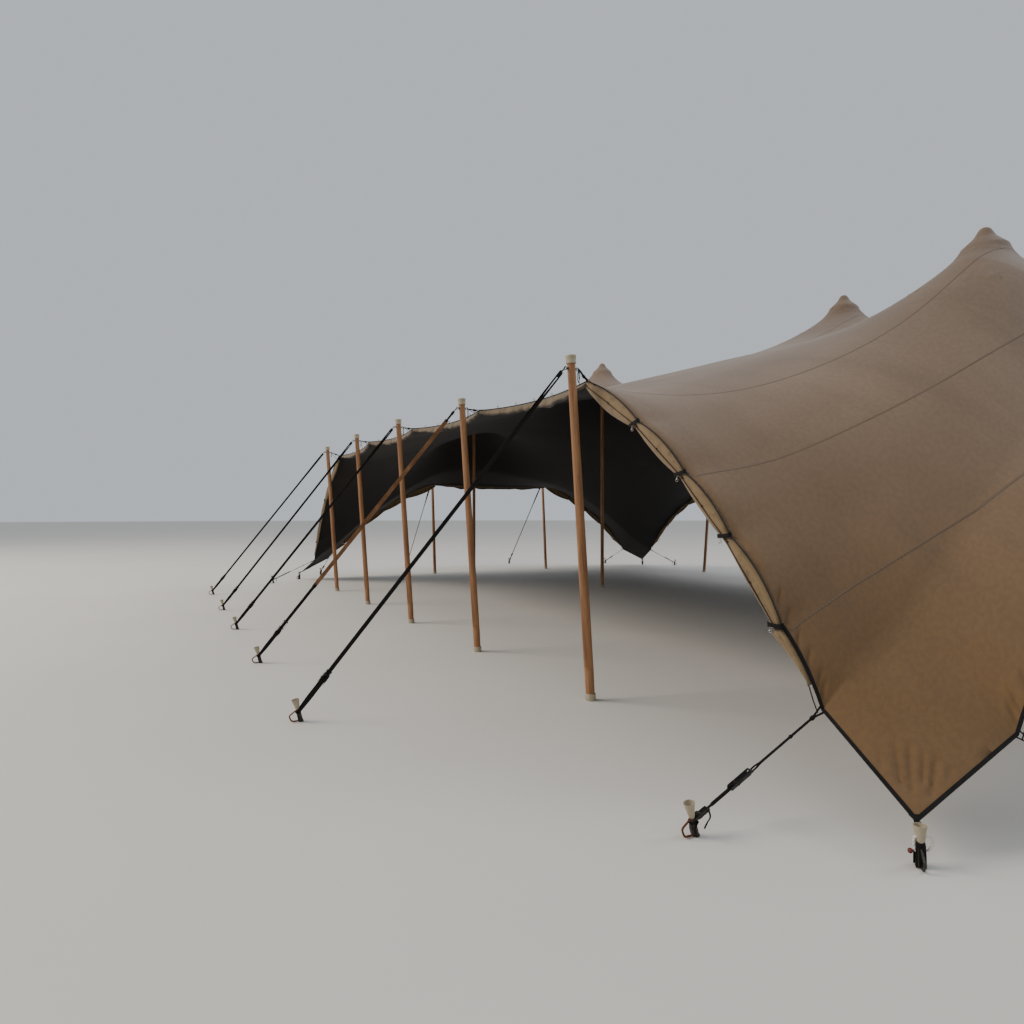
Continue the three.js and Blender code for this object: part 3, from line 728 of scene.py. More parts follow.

# Eave hems
# Between the perimeter poles the free edge is gathered on a rope and hangs in a ruffled cream
# hem that is rolled under at the bottom. Its lower part is darker, almost black.
HEM_DROP, HEM_OUT, HEM_STEP, HEM_ACROSS, RUFFLE_DEEP = 0.088, 0.02, 0.03, 8, 0.016
HEM_STARTS = 0.006  # up and out from the edge
BAY_SHIFT, SIDE_SHIFT = 3.7, 11  # so that no two bays look alike
BAYS = {"front": (BAY_STEPS, 4), "back": (BAY_STEPS, 4)}  # steps in a bay, bays
BAYS |= {"right": (END_BAY_STEPS, 1), "left": (END_BAY_STEPS, 1)}

# Cream that its own gathers streak with shadow, ending below in a ragged, almost black line.
hem_cloth = finish("gathered_cream_hem_cloth")
metres = node(hem_cloth, "UVMap", {}, uv_map="metres")
drawn = node(hem_cloth, "Mapping", {"Vector": metres, "Scale": (1, 0.25, 1)})
gathers = node(hem_cloth, "TexNoise", {"Vector": drawn, "Scale": 26, "Detail": 5})
faded = node(hem_cloth, "TexNoise", {"Vector": metres, "Scale": 2.2, "Detail": 5})
base = node(hem_cloth, "Mix", {0: faded, 6: "55452F", 7: "7C6A4F"})
shadow = node(hem_cloth, "MapRange", {0: gathers, 1: 0.5, 2: 0.7, 3: 0, 4: 0.6})
hemmed = node(hem_cloth, "Mix", {0: shadow, 6: base, 7: "32261A"})
down = node(hem_cloth, "SeparateXYZ", {0: metres}, "Y")
torn = node(hem_cloth, "TexNoise", {"Vector": metres, "Scale": 34, "Detail": 5, "Roughness": 0.7})
ragged = node(hem_cloth, "Math", {0: torn, 1: 0.11, 2: down}, operation="MULTIPLY_ADD")
lowest = node(hem_cloth, "MapRange", {0: ragged, 1: 0.14, 2: 0.185, 3: 0, 4: 0.9})
shade(hem_cloth, {
    "Base Color": node(hem_cloth, "Mix", {0: lowest, 6: hemmed, 7: "241811"}),
    "Normal": node(hem_cloth, "Bump", {"Height": gathers, "Strength": 0.6, "Distance": 0.01}),
    "Roughness": 0.9, "Sheen Weight": 0.2,
})


def bay_ends(side, k):
    """Where bay k of a side starts and ends along its line, and the way between in metres."""
    start = (FOOT_STEPS + ARCHES[side] + k * BAYS[side][0]) * FINE
    end = start + BAYS[side][0] * FINE
    return start, end, LINES[side][end] - LINES[side][start]


def bay_place(side, k, s, rise, out):
    start, end, _ = bay_ends(side, k)
    return by_edge(side, start + (end - start) * s, rise, out)


for number, side in enumerate(OUTWARD):
    ruffles = []
    for k in range(BAYS[side][1]):
        length = float(np.linalg.norm(bay_ends(side, k)[2]))

        def on_hem(s, t, k=k, length=length):
            x = s * length + BAY_SHIFT * k + SIDE_SHIFT * number
            slack = min(1, 5 * s, 5 * (1 - s))
            drop = HEM_DROP * (0.45 + 0.55 * slack) * (0.85 + 0.5 * noise.noise(Vector((x * 3.1, 0, 7))))
            ruffle = math.sin(x * 31 + 2 * math.sin(x * 5)) + 0.6 * noise.noise(Vector((x * 17, t * 2, 1)))
            roll = math.sin(math.pi * min(t * 1.15, 1.15))
            out = HEM_STARTS + HEM_OUT * roll + RUFFLE_DEEP * ruffle * t * (0.4 + 0.6 * slack)
            low = drop * math.sin(math.pi / 2 * min(1, t * 1.12))
            return bay_place(side, k, s, HEM_STARTS - low, out)

        def on_flat_hem(s, t, k=k, length=length):
            return s * length + BAY_SHIFT * k, t * 0.2

        ruffles.append(mapped(round(length / HEM_STEP), HEM_ACROSS, on_hem, on_flat_hem))
    trim(f"{side}_eave_hems", "hem", ruffles, hem_cloth, wall=CUFF_THICK)

# Edge cords
# A black rope is drawn through the fold along every arch and eave, and a thinner brown cord is
# threaded from clip to clip across the cuff. Both are braided.
ROPE_R, CORD_R, CORD_DOWN, BRAID_PITCH = 0.0052, 0.0045, 0.03, 0.014
KNOT = np.array([  # the turns of a small knot and its two loose ends, in its own size
    (-1.6, 0, 1.5), (-0.6, 0.4, 0.3), (0.6, -0.4, 0.5), (0.3, 0.5, -0.6), (-0.7, 0.3, -0.2),
    (0.2, -0.5, 0.6), (0.9, 0.2, -0.4), (1.1, 0.3, -1.9),
])


def braided(name, light, shadow):
    """A braided cord's finish: slanting strands that show along its length."""
    made = finish(name)
    run = node(made, "UVMap", {}, uv_map="metres")
    slanted = node(made, "Mapping", {"Vector": run, "Rotation": (0, 0, 0.7)})
    twist = {"Vector": slanted, "Scale": bands(BRAID_PITCH), "Distortion": 0.5}
    strands = node(made, "TexWave", twist, "Fac")
    dusty = node(made, "TexNoise", {"Vector": run, "Scale": 12, "Detail": 4})
    between = node(made, "Math", {0: strands, 1: dusty}, operation="MULTIPLY")
    shade(made, {
        "Base Color": node(made, "Mix", {0: between, 6: shadow, 7: light}),
        "Normal": node(made, "Bump", {"Height": strands, "Strength": 0.6, "Distance": 0.002}),
        "Roughness": 0.8,
    })
    return made


black_rope = braided("black_braided_rope", "251D18", "0D0907")
brown_cord = braided("brown_braided_cord", "4E3320", "2A180D")


def points_of(path):
    return np.array([tuple(point) for point in path], float)


def squared(sides, ahead):
    """Directions turned square to the ones ahead."""
    return unit(sides - ahead * (sides * ahead).sum(1, keepdims=True))


def swept(path, sides, ups, outline, swell=None):
    """A closed outline of (across, up) points drawn along a path; swell scales it at each point."""
    count, last = len(outline), len(path) - 1
    run = run_along(path)
    round_outline = np.array([*outline, outline[0]])
    around = run_along(round_outline)

    def at(s, t):
        k, (x, y) = round(s * last), round_outline[round(t * count)]
        scale = 1 if swell is None else swell[k]
        return path[k] + (sides[k] * x + ups[k] * y) * scale

    def metre(s, t):
        return run[round(s * last)], around[round(t * count)]

    made = mapped(last, count, at, metre)
    bmesh.ops.remove_doubles(made, verts=made.verts, dist=1e-5)
    open_ends = [e for e in made.edges if e.is_boundary]
    if open_ends:
        bmesh.ops.holes_fill(made, edges=open_ends, sides=0)
    bmesh.ops.recalc_face_normals(made, faces=made.faces)
    return made


def ring_outline(radius, count=8):
    turns = [math.tau * k / count for k in range(count)]
    return [(radius * math.cos(a), radius * math.sin(a)) for a in turns]


def rod(path, radius, count=8):
    """A round bar or cord along a path, its section carried along without twisting."""
    path = points_of(path)
    ahead = unit(np.gradient(path, axis=0))
    first = np.cross(ahead[0], (0, 0, 1) if abs(ahead[0][2]) < 0.9 else (1, 0, 0))
    sides = [first / np.linalg.norm(first)]
    for direction in ahead[1:]:
        side = sides[-1] - direction * sides[-1].dot(direction)
        sides.append(side / np.linalg.norm(side))
    return swept(path, np.array(sides), np.cross(ahead, np.array(sides)), ring_outline(radius, count))


def hoop(centre, across, up, wide, tall, bar, steps=20, count=6):
    """A closed ring of round bar, wide across and tall along up."""
    centre, across, up = np.array(centre), unit(np.array(across, float)), unit(np.array(up, float))
    turns = np.linspace(0, math.tau, steps + 1)
    path = np.array([
        centre + across * wide / 2 * math.cos(a) + up * tall / 2 * math.sin(a) for a in turns
    ])
    outward = np.array([across * math.cos(a) + up * math.sin(a) for a in turns])
    flat = np.cross(across, up)
    return swept(path, outward, np.repeat(flat[None], len(path), 0), ring_outline(bar, count))


for side in OUTWARD:
    ropes, cords = [], []
    for far in (False, True):
        shares = np.linspace(CLIPS[0], CLIPS[-1], 60)
        ropes.append(rod([edge_place(side, far, s, fold_rise(s) + 0.006, 0.012) for s in shares], ROPE_R))
        for low, high in zip(CLIPS, CLIPS[1:]):
            start, end = [edge_place(side, far, s, -CORD_DOWN, CUFF_PROUD + 0.014) for s in (low, high)]
            half_way = (low + high) / 2
            middle = edge_place(side, far, half_way, -CORD_DOWN, CUFF_PROUD + CUFF_CROWN + 0.012)
            turns = np.linspace(0, 1, 13)[:, None]
            path = start * (1 - turns) ** 2 + middle * 2 * turns * (1 - turns) + end * turns ** 2
            cords.append(rod(path, CORD_R, 6))
            # a knot half-way, and another behind each clip
            for held_at, size in ((path[6], 0.011), (end + (start - end) * 0.03, 0.014)):
                cords.append(rod(held_at + KNOT * size, CORD_R * 0.9, 6))
    for k in range(BAYS[side][1]):
        ropes.append(rod([bay_place(side, k, s, 0.012, 0.008) for s in np.linspace(0, 1, 24)], ROPE_R))
    fit(f"{side}_edge_rope", "rope", joined(ropes), black_rope)
    fit(f"{side}_cuff_cord", "rope", joined(cords), brown_cord)

# Clips and rings
# Every clip is a short black strap drawn tight across the pinched cuff, with a small bright ring
# at its lower end; small steel rings also stand along the eave rope.
CLIP_HALF, CLIP_DOWN, CLIP_THICK = 0.0135, -0.064, 0.005
TAB_TURN = 2.6  # one part in this many of a clip goes over the fold
CLIP_SLANT = 0.06  # its lower end lies this much further up the arch
CLIP_RING, SPLIT_RING = (0.021, 0.021, 0.0026, 14), (0.018, 0.022, 0.0022, 12)  # wide, tall, bar, steps
ANCHOR_RING, EAVE_RING = (0.024, 0.024, 0.0024, 14), (0.03, 0.036, 0.003, 12)
LACE_PITCH = 0.38
WEB_RIB = 0.0035  # the real ribs of the weave are 1.5 mm apart, drawn coarser so that they show


def webbing_finish(name, light, shadow, gloss):
    """Woven strap: ribs across it, a fine herringbone along it, paler where it has rubbed."""
    made = finish(name)
    run = node(made, "UVMap", {}, uv_map="metres")
    across = {"Vector": run, "Scale": bands(WEB_RIB), "Distortion": 0.3}
    ribs = node(made, "TexWave", across, "Fac", bands_direction="X")
    lines = {"Vector": run, "Scale": bands(0.009), "Distortion": 0.2}
    lines = node(made, "TexWave", lines, "Fac", bands_direction="Y")
    weave = node(made, "Math", {0: ribs, 1: lines}, operation="ADD")
    rubbed = node(made, "TexNoise", {"Vector": run, "Scale": 9, "Detail": 6, "Roughness": 0.65})
    wear = node(made, "MapRange", {0: rubbed, 1: 0.42, 2: 0.7})
    raised = node(made, "MapRange", {0: weave, 1: 0.4, 2: 1.8, 3: 0.25, 4: 1})
    amount = node(made, "Math", {0: wear, 1: raised}, operation="MULTIPLY")
    shade(made, {
        "Base Color": node(made, "Mix", {0: amount, 6: shadow, 7: light}),
        "Normal": node(made, "Bump", {"Height": weave, "Strength": 0.4, "Distance": 0.0008}),
        "Roughness": gloss, "Specular IOR Level": 0.25,
    })
    return made


black_webbing = webbing_finish("black_polyester_webbing", "1D1816", "080605", 0.72)

# Pale metal with small dull stains, so that every ring glints.
bright_steel = finish("bright_zinc_plated_steel")
where = node(bright_steel, "TexCoord", {}, "Object")
stain = node(bright_steel, "TexNoise", {"Vector": where, "Scale": 60, "Detail": 4})
shade(bright_steel, {
    "Base Color": node(bright_steel, "Mix", {0: stain, 6: "8E8A83", 7: "C9C6C0"}),
    "Roughness": node(bright_steel, "MapRange", {0: stain, 3: 0.25, 4: 0.5}), "Metallic": 1.0,
})

for side in OUTWARD:
    tabs, rings = [], []
    out = np.array(OUTWARD[side], float)
    for far in (False, True):
        for share in CLIPS[:-1]:
            centre = edge_place(side, far, share)
            up = edge_place(side, far, share, 1) - centre
            along = unit(edge_place(side, far, share + 0.01) - edge_place(side, far, share - 0.01))

            def on_tab(s, t, centre=centre, up=up, along=along):
                # over the fold from the back, then down across the cuff to its lower edge
                angle = math.pi * min(1, s * TAB_TURN)
                down = max(0, s - 1 / TAB_TURN) / (1 - 1 / TAB_TURN)
                lift = 0.012 + 0.012 * math.sin(angle) + (CLIP_DOWN - 0.012) * down
                front = 0.019 - 0.016 * math.cos(angle) + 0.006 * math.sin(math.pi * down)
                aside = CLIP_HALF * (1 - 0.25 * math.sin(math.pi * down)) * (2 * t - 1)
                slide = along * (CLIP_SLANT * down + aside * 0.85)
                return centre + up * (lift + aside * 0.5) + out * front + slide

            tab = mapped(16, 4, on_tab, lambda s, t: (s * 0.15, t * 0.03))
            bmesh.ops.solidify(tab, geom=list(tab.faces), thickness=CLIP_THICK)
            tabs.append(tab)
            low_end = centre + up * CLIP_DOWN + along * (CLIP_SLANT - 0.035) + out * 0.03
            rings.append(hoop(low_end, along + up, up, *CLIP_RING))
            rings.append(hoop(low_end - (up + along) * 0.012, out + along, up, *SPLIT_RING))
        # a thin strand and a ring join the end of the last cuff to the edge strap's anchor
        top = edge_place(side, far, CLIPS[0] * 0.3, fold_rise(CLIPS[0] * 0.3) - 0.02, 0.012)
        rings.append(hoop(top, (0, 0, 1), out, *ANCHOR_RING))
        low_end = edge_place(side, far, 0, -0.03, 0.01)
        tabs.append(rod([top, edge_place(side, far, CLIPS[0] * 0.12, -0.026, 0.006), low_end], 0.0035, 6))
    for k in range(BAYS[side][1]):
        way = bay_ends(side, k)[2]
        count = round(float(np.linalg.norm(way)) / LACE_PITCH)
        for n in range(1, count):
            centre = bay_place(side, k, n / count, 0.026, 0.008)
            rings.append(hoop(centre, way, (0, 0, 1), *EAVE_RING))
    trim(f"{side}_cuff_clips", "webbing", tabs, black_webbing)
    fit(f"{side}_edge_rings", "steel", joined(rings), bright_steel)

# Corner webbing
# From the lowest clip of one arch, round each ground corner, to the lowest clip of the next, the
# edge is bound in black webbing folded over it and sewn.
BIND_DEEP, BIND_OVER, BIND_FACE, BIND_INNER = 0.014, 0.004, 0.0062, 0.0036
BINDING = [
    (-BIND_DEEP, BIND_FACE), (BIND_OVER, BIND_FACE), (BIND_OVER, -BIND_FACE), (-BIND_DEEP, -BIND_FACE),
    (-BIND_DEEP, -BIND_INNER), (0, -BIND_INNER), (0, BIND_INNER), (-BIND_DEEP, BIND_INNER),
]

cloth_ups = from_edges(cloth_up)
for side, rows in INWARDS.items():
    bindings = []
    for far in (False, True):
        steps = np.arange(0, (FOOT_STEPS + CLIPS[0] * ARCHES[side]) * FINE + 0.5, 0.5)
        picks = len(rows) - 1 - steps if far else steps
        path, inward, ups = [
            np.array([on_line(line, pick) for pick in picks])
            for line in (rows[:, 0], rows[:, 1], cloth_ups[side][:, 0])
        ]
        ahead = unit(np.gradient(path, axis=0))
        inward -= path
        ups = unit(ups)
        for _ in range(3):
            for turns in (ups, inward, ahead):
                turns[1:-1] = (turns[:-2] + 2 * turns[1:-1] + turns[2:]) / 4
        ahead = unit(ahead)
        bindings.append(swept(path, -squared(inward, ahead), squared(ups, ahead), BINDING))
    fit(f"{side}_corner_webbing", "webbing", joined(bindings), black_webbing)

# Perimeter poles
# Round poles of oiled softwood, turned from one straight length each, lean outwards round the
# edge. Three fine lines are scribed round each of them about 280 mm above its foot.
POLE_LEAN, POLE_TOP_R, POLE_FOOT_R = 0.205, 0.036, 0.042
SCRIBED = (0.27, 0.281, 0.292)
LINE_HALF, LINE_DEEP = 0.002, 0.0012
END_EASE, UNDER_CAP = 0.003, 0.004  # its ends are eased, and the upper one lies this far inside its cap
UPWARDS = Vector((0, 0, 1))
DRIFTS = {  # how far each stake stands to the left of its pole
    "front": (0.54, 0.53, 0.59, 0.39, 0.52), "back": (0.54,) * 5, "right": (0, 0), "left": (0, 0),
}
ROW_FEET = [Vector((x, 0, 0)) for x in LONG_XS]
END_FEET = [Vector((0, y, 0)) for y in (-END_POLE_Y, END_POLE_Y)]

POLES = []  # name, foot, outwards, height, side, place of its apex on the cloth's edge, drift
for side, feet, inset, tops in (
    ("front", ROW_FEET, HALF_ROWS, FRONT_HEIGHTS), ("back", ROW_FEET, HALF_ROWS, BACK_HEIGHTS),
    ("right", END_FEET, HALF_ENDS, [END_HEIGHT] * 2), ("left", END_FEET, HALF_ENDS, [END_HEIGHT] * 2),
):
    for k, (foot, height) in enumerate(zip(feet, tops)):
        out = Vector(OUTWARD[side])
        apex = (FOOT_STEPS + ARCHES[side] + k * BAYS[side][0]) * FINE
        POLES.append((f"{side}_{k + 1}", foot + out * inset, out, height, side, apex, DRIFTS[side][k]))

# Warm brown, with fibres and broad rings drawn out along the grain and dulled in patches.
timber = finish("oiled_round_softwood")
own = node(timber, "Attribute", {}, "Vector", attribute_name="own_place")
drawn = node(timber, "Mapping", {"Vector": own, "Scale": (1, 1, 0.035)})
fibres = node(timber, "TexNoise", {"Vector": drawn, "Scale": 210, "Detail": 5, "Roughness": 0.6})
drawn = node(timber, "Mapping", {"Vector": own, "Scale": (1, 1, 0.06)})
rings = node(timber, "TexNoise", {"Vector": drawn, "Scale": 34, "Detail": 3, "Distortion": 0.4})
weather = node(timber, "TexNoise", {"Vector": own, "Scale": 3.5, "Detail": 5})
tone = node(timber, "MapRange", {0: rings, 1: 0.35, 2: 0.65})
base = node(timber, "Mix", {0: tone, 6: "7E5231", 7: "A3754B"})
lines = node(timber, "MapRange", {0: fibres, 1: 0.52, 2: 0.68, 3: 0, 4: 0.55})
grained = node(timber, "Mix", {0: lines, 6: base, 7: "573619"})
worn = node(timber, "MapRange", {0: weather, 1: 0.5, 2: 0.72, 3: 0, 4: 0.4})
shade(timber, {
    "Base Color": node(timber, "Mix", {0: worn, 6: grained, 7: "88694B"}),
    "Normal": node(timber, "Bump", {"Height": fibres, "Strength": 0.35, "Distance": 0.0012}),
    "Roughness": node(timber, "MapRange", {0: weather, 3: 0.5, 4: 0.68}),
})


def turned(profile, steps=24):
    """A solid turned about Z from (radius, height) points that start and end on the axis."""
    made = bmesh.new()
    chain = [made.verts.new((r, 0, z)) for r, z in profile]
    geom = chain + [made.edges.new(pair) for pair in zip(chain, chain[1:])]
    bmesh.ops.spin(
        made, geom=geom, axis=(0, 0, 1), cent=(0, 0, 0), angle=math.tau, steps=steps, use_merge=True,
    )
    bmesh.ops.remove_doubles(made, verts=made.verts, dist=1e-6)
    bmesh.ops.recalc_face_normals(made, faces=made.faces)
    return made


def set_at(made, origin, along=UPWARDS, across=Vector((1, 0, 0))):
    """Keeps each point's own place for its material, then puts the work at an origin, with its Z
    along one direction and its X as near as can be to another."""
    own_place = made.verts.layers.float_vector.new("own_place")
    for vert in made.verts:
        vert[own_place] = vert.co
    z = Vector(along).normalized()
    x = Vector(across) - z * z.dot(Vector(across))
    x.normalize()
    turn = Matrix((x, z.cross(x), z)).transposed().to_4x4()
    turn.translation = Vector(origin)
    bmesh.ops.transform(made, matrix=turn, verts=made.verts)
    return made


def pole_profile(foot_r, top_r, long, start=0.01):
    points = [(0, start), (foot_r - END_EASE, start)]
    for at in SCRIBED:
        r = foot_r + (top_r - foot_r) * at / long
        points += [(r, at - LINE_HALF), (r - LINE_DEEP, at), (r, at + LINE_HALF)]
    points += [(foot_r + (top_r - foot_r) * t, long * t) for t in (0.3, 0.5, 0.7, 0.9)]
    return [*points, (top_r, long - END_EASE), (top_r - END_EASE, long), (0, long)]


for name, foot, out, height, *_ in POLES:
    axis = out * POLE_LEAN + UPWARDS * height
    shaft = turned(pole_profile(POLE_FOOT_R, POLE_TOP_R, axis.length - UNDER_CAP))
    shaft = set_at(shaft, foot, axis, out)
    fit(f"{name}_pole_shaft", "timber", shaft, timber, stands_for=[f"{name}_pole"])

# Pole caps
# Cream moulded plastic: a cap that flares a little towards its rim on top of every pole, and a
# plain cup under its foot.
TOP_CAP = [  # radius, height above the pole's top
    (0, -0.068), (0.039, -0.07), (0.042, -0.072), (0.0442, -0.0708), (0.0448, -0.067), (0.0432, -0.054),
    (0.0432, -0.042), (0.0444, -0.024), (0.0467, -0.015), (0.047, -0.006), (0.0455, -0.0015), (0.0415, 0),
    (0.036, -0.0006), (0.02, -0.0022), (0, -0.0026),
]
FOOT_CAP = [
    (0, 0.002), (0.04, 0), (0.0445, 0.0012), (0.046, 0.005), (0.0458, 0.03), (0.045, 0.054),
    (0.0442, 0.059), (0.0425, 0.06), (0.041, 0.058), (0, 0.05),
]

# Cream that has yellowed unevenly, with dark scuffs that also dull its shine.
cap_plastic = finish("cream_moulded_polypropylene")
own = node(cap_plastic, "Attribute", {}, "Vector", attribute_name="own_place")
yellowed = node(cap_plastic, "TexNoise", {"Vector": own, "Scale": 22, "Detail": 4})
base = node(cap_plastic, "Mix", {0: yellowed, 6: "968A70", 7: "B3A88F"})
scuffs = node(cap_plastic, "TexNoise", {"Vector": own, "Scale": 95, "Detail": 6, "Roughness": 0.7})
scuffed = node(cap_plastic, "MapRange", {0: scuffs, 1: 0.56, 2: 0.7, 3: 0, 4: 0.5})
shade(cap_plastic, {
    "Base Color": node(cap_plastic, "Mix", {0: scuffed, 6: base, 7: "6E6350"}),
    "Normal": node(cap_plastic, "Bump", {"Height": scuffs, "Strength": 0.12, "Distance": 0.0008}),
    "Roughness": node(cap_plastic, "MapRange", {0: scuffs, 3: 0.38, 4: 0.62}),
})

for name, foot, out, height, *_ in POLES:
    axis = out * POLE_LEAN + UPWARDS * height
    top_cap = set_at(turned(TOP_CAP, 32), foot + axis, axis, out)
    fit(f"{name}_pole_caps", "cap", joined([top_cap, set_at(turned(FOOT_CAP, 32), foot)]), cap_plastic)

# Pole eyes and carrying straps
# A steel bolt goes through each pole near its top, with a ring on either side. A doubled black
# strap from the inner ring carries the cloth, and two thin cords spread to its hem.
EYE_DOWN, EYE_REACH, BOLT_R, BOLT_HALF, WASHER_R, WASHER_HALF = 0.115, 0.034, 0.0055, 0.052, 0.013, 0.004
EYE_RING, CARRY_RING = (0.026, 0.028, 0.0035), (0.05, 0.018, 0.004, 16)
CARRY_BAND = [(0, -0.016), (0.013, -0.016), (0.014, 0), (0.013, 0.016), (0, 0.016)]
STAY_SPREAD = 1.7  # in cells of the cloth, to each side of the apex
STAY_HANG = [(0, 0), (-0.05, 0.022), (-0.11, 0.006), (-0.06, -0.018), (0.002, 0)]  # up, sideways
CARRY_HALF, CARRY_THICK, STAY_R = 0.012, 0.0075, 0.0032

# Dark grey with the fine spangle of its zinc, browned and dulled by dirt.
dark_steel = finish("weathered_galvanised_steel")
where = node(dark_steel, "TexCoord", {}, "Object")
spangle = node(dark_steel, "TexVoronoi", {"Vector": where, "Scale": 240}, "Color")
dirt = node(dark_steel, "TexNoise", {"Vector": where, "Scale": 35, "Detail": 6})
mixed = node(dark_steel, "Mix", {0: spangle, 6: "32302E", 7: "4E4B48"})
shown = node(dark_steel, "MapRange", {0: dirt, 1: 0.5, 2: 0.68, 3: 0, 4: 0.7})
shade(dark_steel, {
    "Base Color": node(dark_steel, "Mix", {0: shown, 6: mixed, 7: "2A1F16"}),
    "Roughness": node(dark_steel, "MapRange", {0: dirt, 3: 0.35, 4: 0.7}), "Metallic": 0.7,
})


def bolt(start, end, radius):
    """A short round bar with eased ends."""
    start, end = Vector(start), Vector(end)
    long = (end - start).length
    eased = min(radius, long) * 0.25
    profile = [(0, 0), (radius - eased, 0), (radius, eased), (radius, long - eased), (radius - eased, long)]
    return set_at(turned([*profile, (0, long)], 16), start, end - start, UPWARDS)


def strap_outline(half, thick):
    """A flat strap's outline with softly rounded edges."""
    low, high = half - thick / 2, thick / 2
    return [(-half, 0), (-low, -high), (low, -high), (half, 0), (low, high), (-low, high)]


def flat_strap(path, across, half, thick):
    """Webbing along a path, its width as near as can be to one direction."""
    path = points_of(path)
    ahead = unit(np.gradient(path, axis=0))
    sides = squared(np.broadcast_to(np.array(across), path.shape), ahead)
    return swept(path, sides, np.cross(ahead, sides), strap_outline(half, thick))


def eased_path(points, steps):
    """A smooth line through a few points."""
    points = points_of(points)
    knots = run_along(points)
    wanted = np.linspace(0, knots[-1], steps)
    slopes = np.gradient(points, knots, axis=0)
    k = np.minimum(np.searchsorted(knots, wanted, side="right") - 1, len(knots) - 2)
    h = (knots[k + 1] - knots[k])[:, None]
    t = (wanted - knots[k])[:, None] / h
    return (
        points[k] * (2 * t ** 3 - 3 * t ** 2 + 1) + points[k + 1] * (3 * t ** 2 - 2 * t ** 3)
        + slopes[k] * h * (t ** 3 - 2 * t ** 2 + t) + slopes[k + 1] * h * (t ** 3 - t ** 2)
    )


def eye_place(foot, out, height, away=0):
    """The middle of a pole at its eye bolt, or a point some way out from it."""
    high = height - EYE_DOWN
    return foot + out * (POLE_LEAN * high / height + away) + UPWARDS * high


for name, foot, out, height, side, apex, _ in POLES:
    sideways = out.cross(UPWARDS)
    reach = POLE_TOP_R + EYE_REACH
    bolts = [bolt(*[eye_place(foot, out, height, r) for r in (-BOLT_HALF, BOLT_HALF)], BOLT_R)]
    for way in (-1, 1):
        faces = [way * (POLE_TOP_R + r) for r in (-WASHER_HALF, WASHER_HALF)]
        bolts.append(bolt(*[eye_place(foot, out, height, r) for r in faces], WASHER_R))
        eye = eye_place(foot, out, height, way * (reach - 0.01))
        bolts.append(hoop(eye, out, UPWARDS, *EYE_RING))
    fit(f"{name}_pole_eyes", "steel", joined(bolts), dark_steel)

    tip = Vector(LINES[side][apex])
    ring = eye_place(foot, out, height, -reach)
    down = (tip - ring).normalized()
    path = [ring + (out + UPWARDS) * 0.006, ring - out * 0.004, ring.lerp(tip, 0.5),
            tip - down * 0.012, tip + down * 0.03 - UPWARDS * 0.012]
    straps = joined([
        flat_strap(eased_path(path, 14), sideways, CARRY_HALF, CARRY_THICK),
        hoop(ring + down * 0.03, down, out, *CARRY_RING),
        set_at(turned(CARRY_BAND, 12), ring.lerp(tip, 0.55), down, out),
    ])
    fit(f"{name}_pole_carrier", "webbing", straps, black_webbing)

    stays = []
    for way in (-STAY_SPREAD, STAY_SPREAD):
        held_at = Vector(on_line(LINES[side], apex + way)) + (UPWARDS + out) * 0.012
        path = [ring, ring.lerp(held_at, 0.5) - UPWARDS * 0.006, held_at]
        stays.append(rod(eased_path(path, 8), STAY_R, 6))
    turns = [ring - out * 0.004 + UPWARDS * up + sideways * aside for up, aside in STAY_HANG]
    stays.append(rod(eased_path(turns, 18), STAY_R, 6))
    fit(f"{name}_pole_stays", "rope", joined(stays), black_rope)

# Centre poles
# One stout pole under each peak, of the same oiled softwood. A slim steel neck carries a domed
# plastic head that spreads the load on the cloth.
MAST_R, MAST_NECK_R, MAST_NECK_TALL = 0.038, 0.02, 0.12
HEAD_DOME = [
    # radius, drop below the peak
    (0, 0.106), (0.021, 0.106), (0.044, 0.102), (0.053, 0.094), (0.0555, 0.08), (0.054, 0.062),
    (0.05, 0.044), (0.043, 0.029), (0.033, 0.0175), (0.019, 0.0105), (0, 0.0075),
]
MAST_NAMES = ("right_end_mast", "right_middle_mast", "left_middle_mast", "left_end_mast")
for name, (x, y, z) in zip(MAST_NAMES, PEAKS):
    foot = Vector((x, y, 0))
    top = z - MAST_NECK_TALL - 0.03
    shaft = set_at(turned(pole_profile(MAST_R, MAST_R, top)), foot)
    fit(f"{name}_shaft", "timber", shaft, timber, stands_for=[name])
    head = set_at(turned([(r, z - drop) for r, drop in HEAD_DOME], 32), foot)
    fit(f"{name}_head", "cap", joined([head, set_at(turned(FOOT_CAP, 32), foot)]), cap_plastic)
    collar = [(0, top - 0.05), (0.04, top - 0.05), (0.0405, top + 0.004), (0.034, top + 0.012),
              (MAST_NECK_R + 0.001, top + 0.02), (MAST_NECK_R, z - 0.098), (0, z - 0.098)]
    fit(f"{name}_neck", "steel", set_at(turned(collar), foot), dark_steel)

# Guys
# Every perimeter pole is held by a doubled strap of black webbing. A snap link joins it to the
# pole's outer ring, its end is bound in a short wrap, and it runs edgeways down to a ratchet.
GUY_REACH, GUY_HALF, PLY = 2.35, 0.0165, 0.0024
LINK_LONG, LINK_WIDE, LINK_BAR, LINK_ON = 0.06, 0.03, 0.004, 0.008
WRAP_LONG, WRAP_R = 0.048, 0.0165
RATCHET_AT, STRAP_ON_STAKE, STAKE_LEAN = 0.905, 0.08, 0.25
DRUM_ON = 0.022  # how far below its middle a ratchet has its drum
TAN_HALF = 0.022
# Below TAN_TO the strap is black webbing: painted shade on the tan strap's lower part.
TAN_FROM, TAN_TO = 0.045, 0.8  # the shares of the second pole's strap that are tan
TWIST_PITCH = 0.42  # and it turns to and fro once in this length
GUY_RATCHET, TAN_RATCHET = (0.0215, 0.105, 0.088, 0.018), (0.0215, 0.105, 0.2, 0.018)
HELD = {}  # name: its stake, outwards, along its strap, level across it, where its last ratchet is
RATCHETS = []  # name, middle, along its strap, across, (half inner width, length, handle, depth)

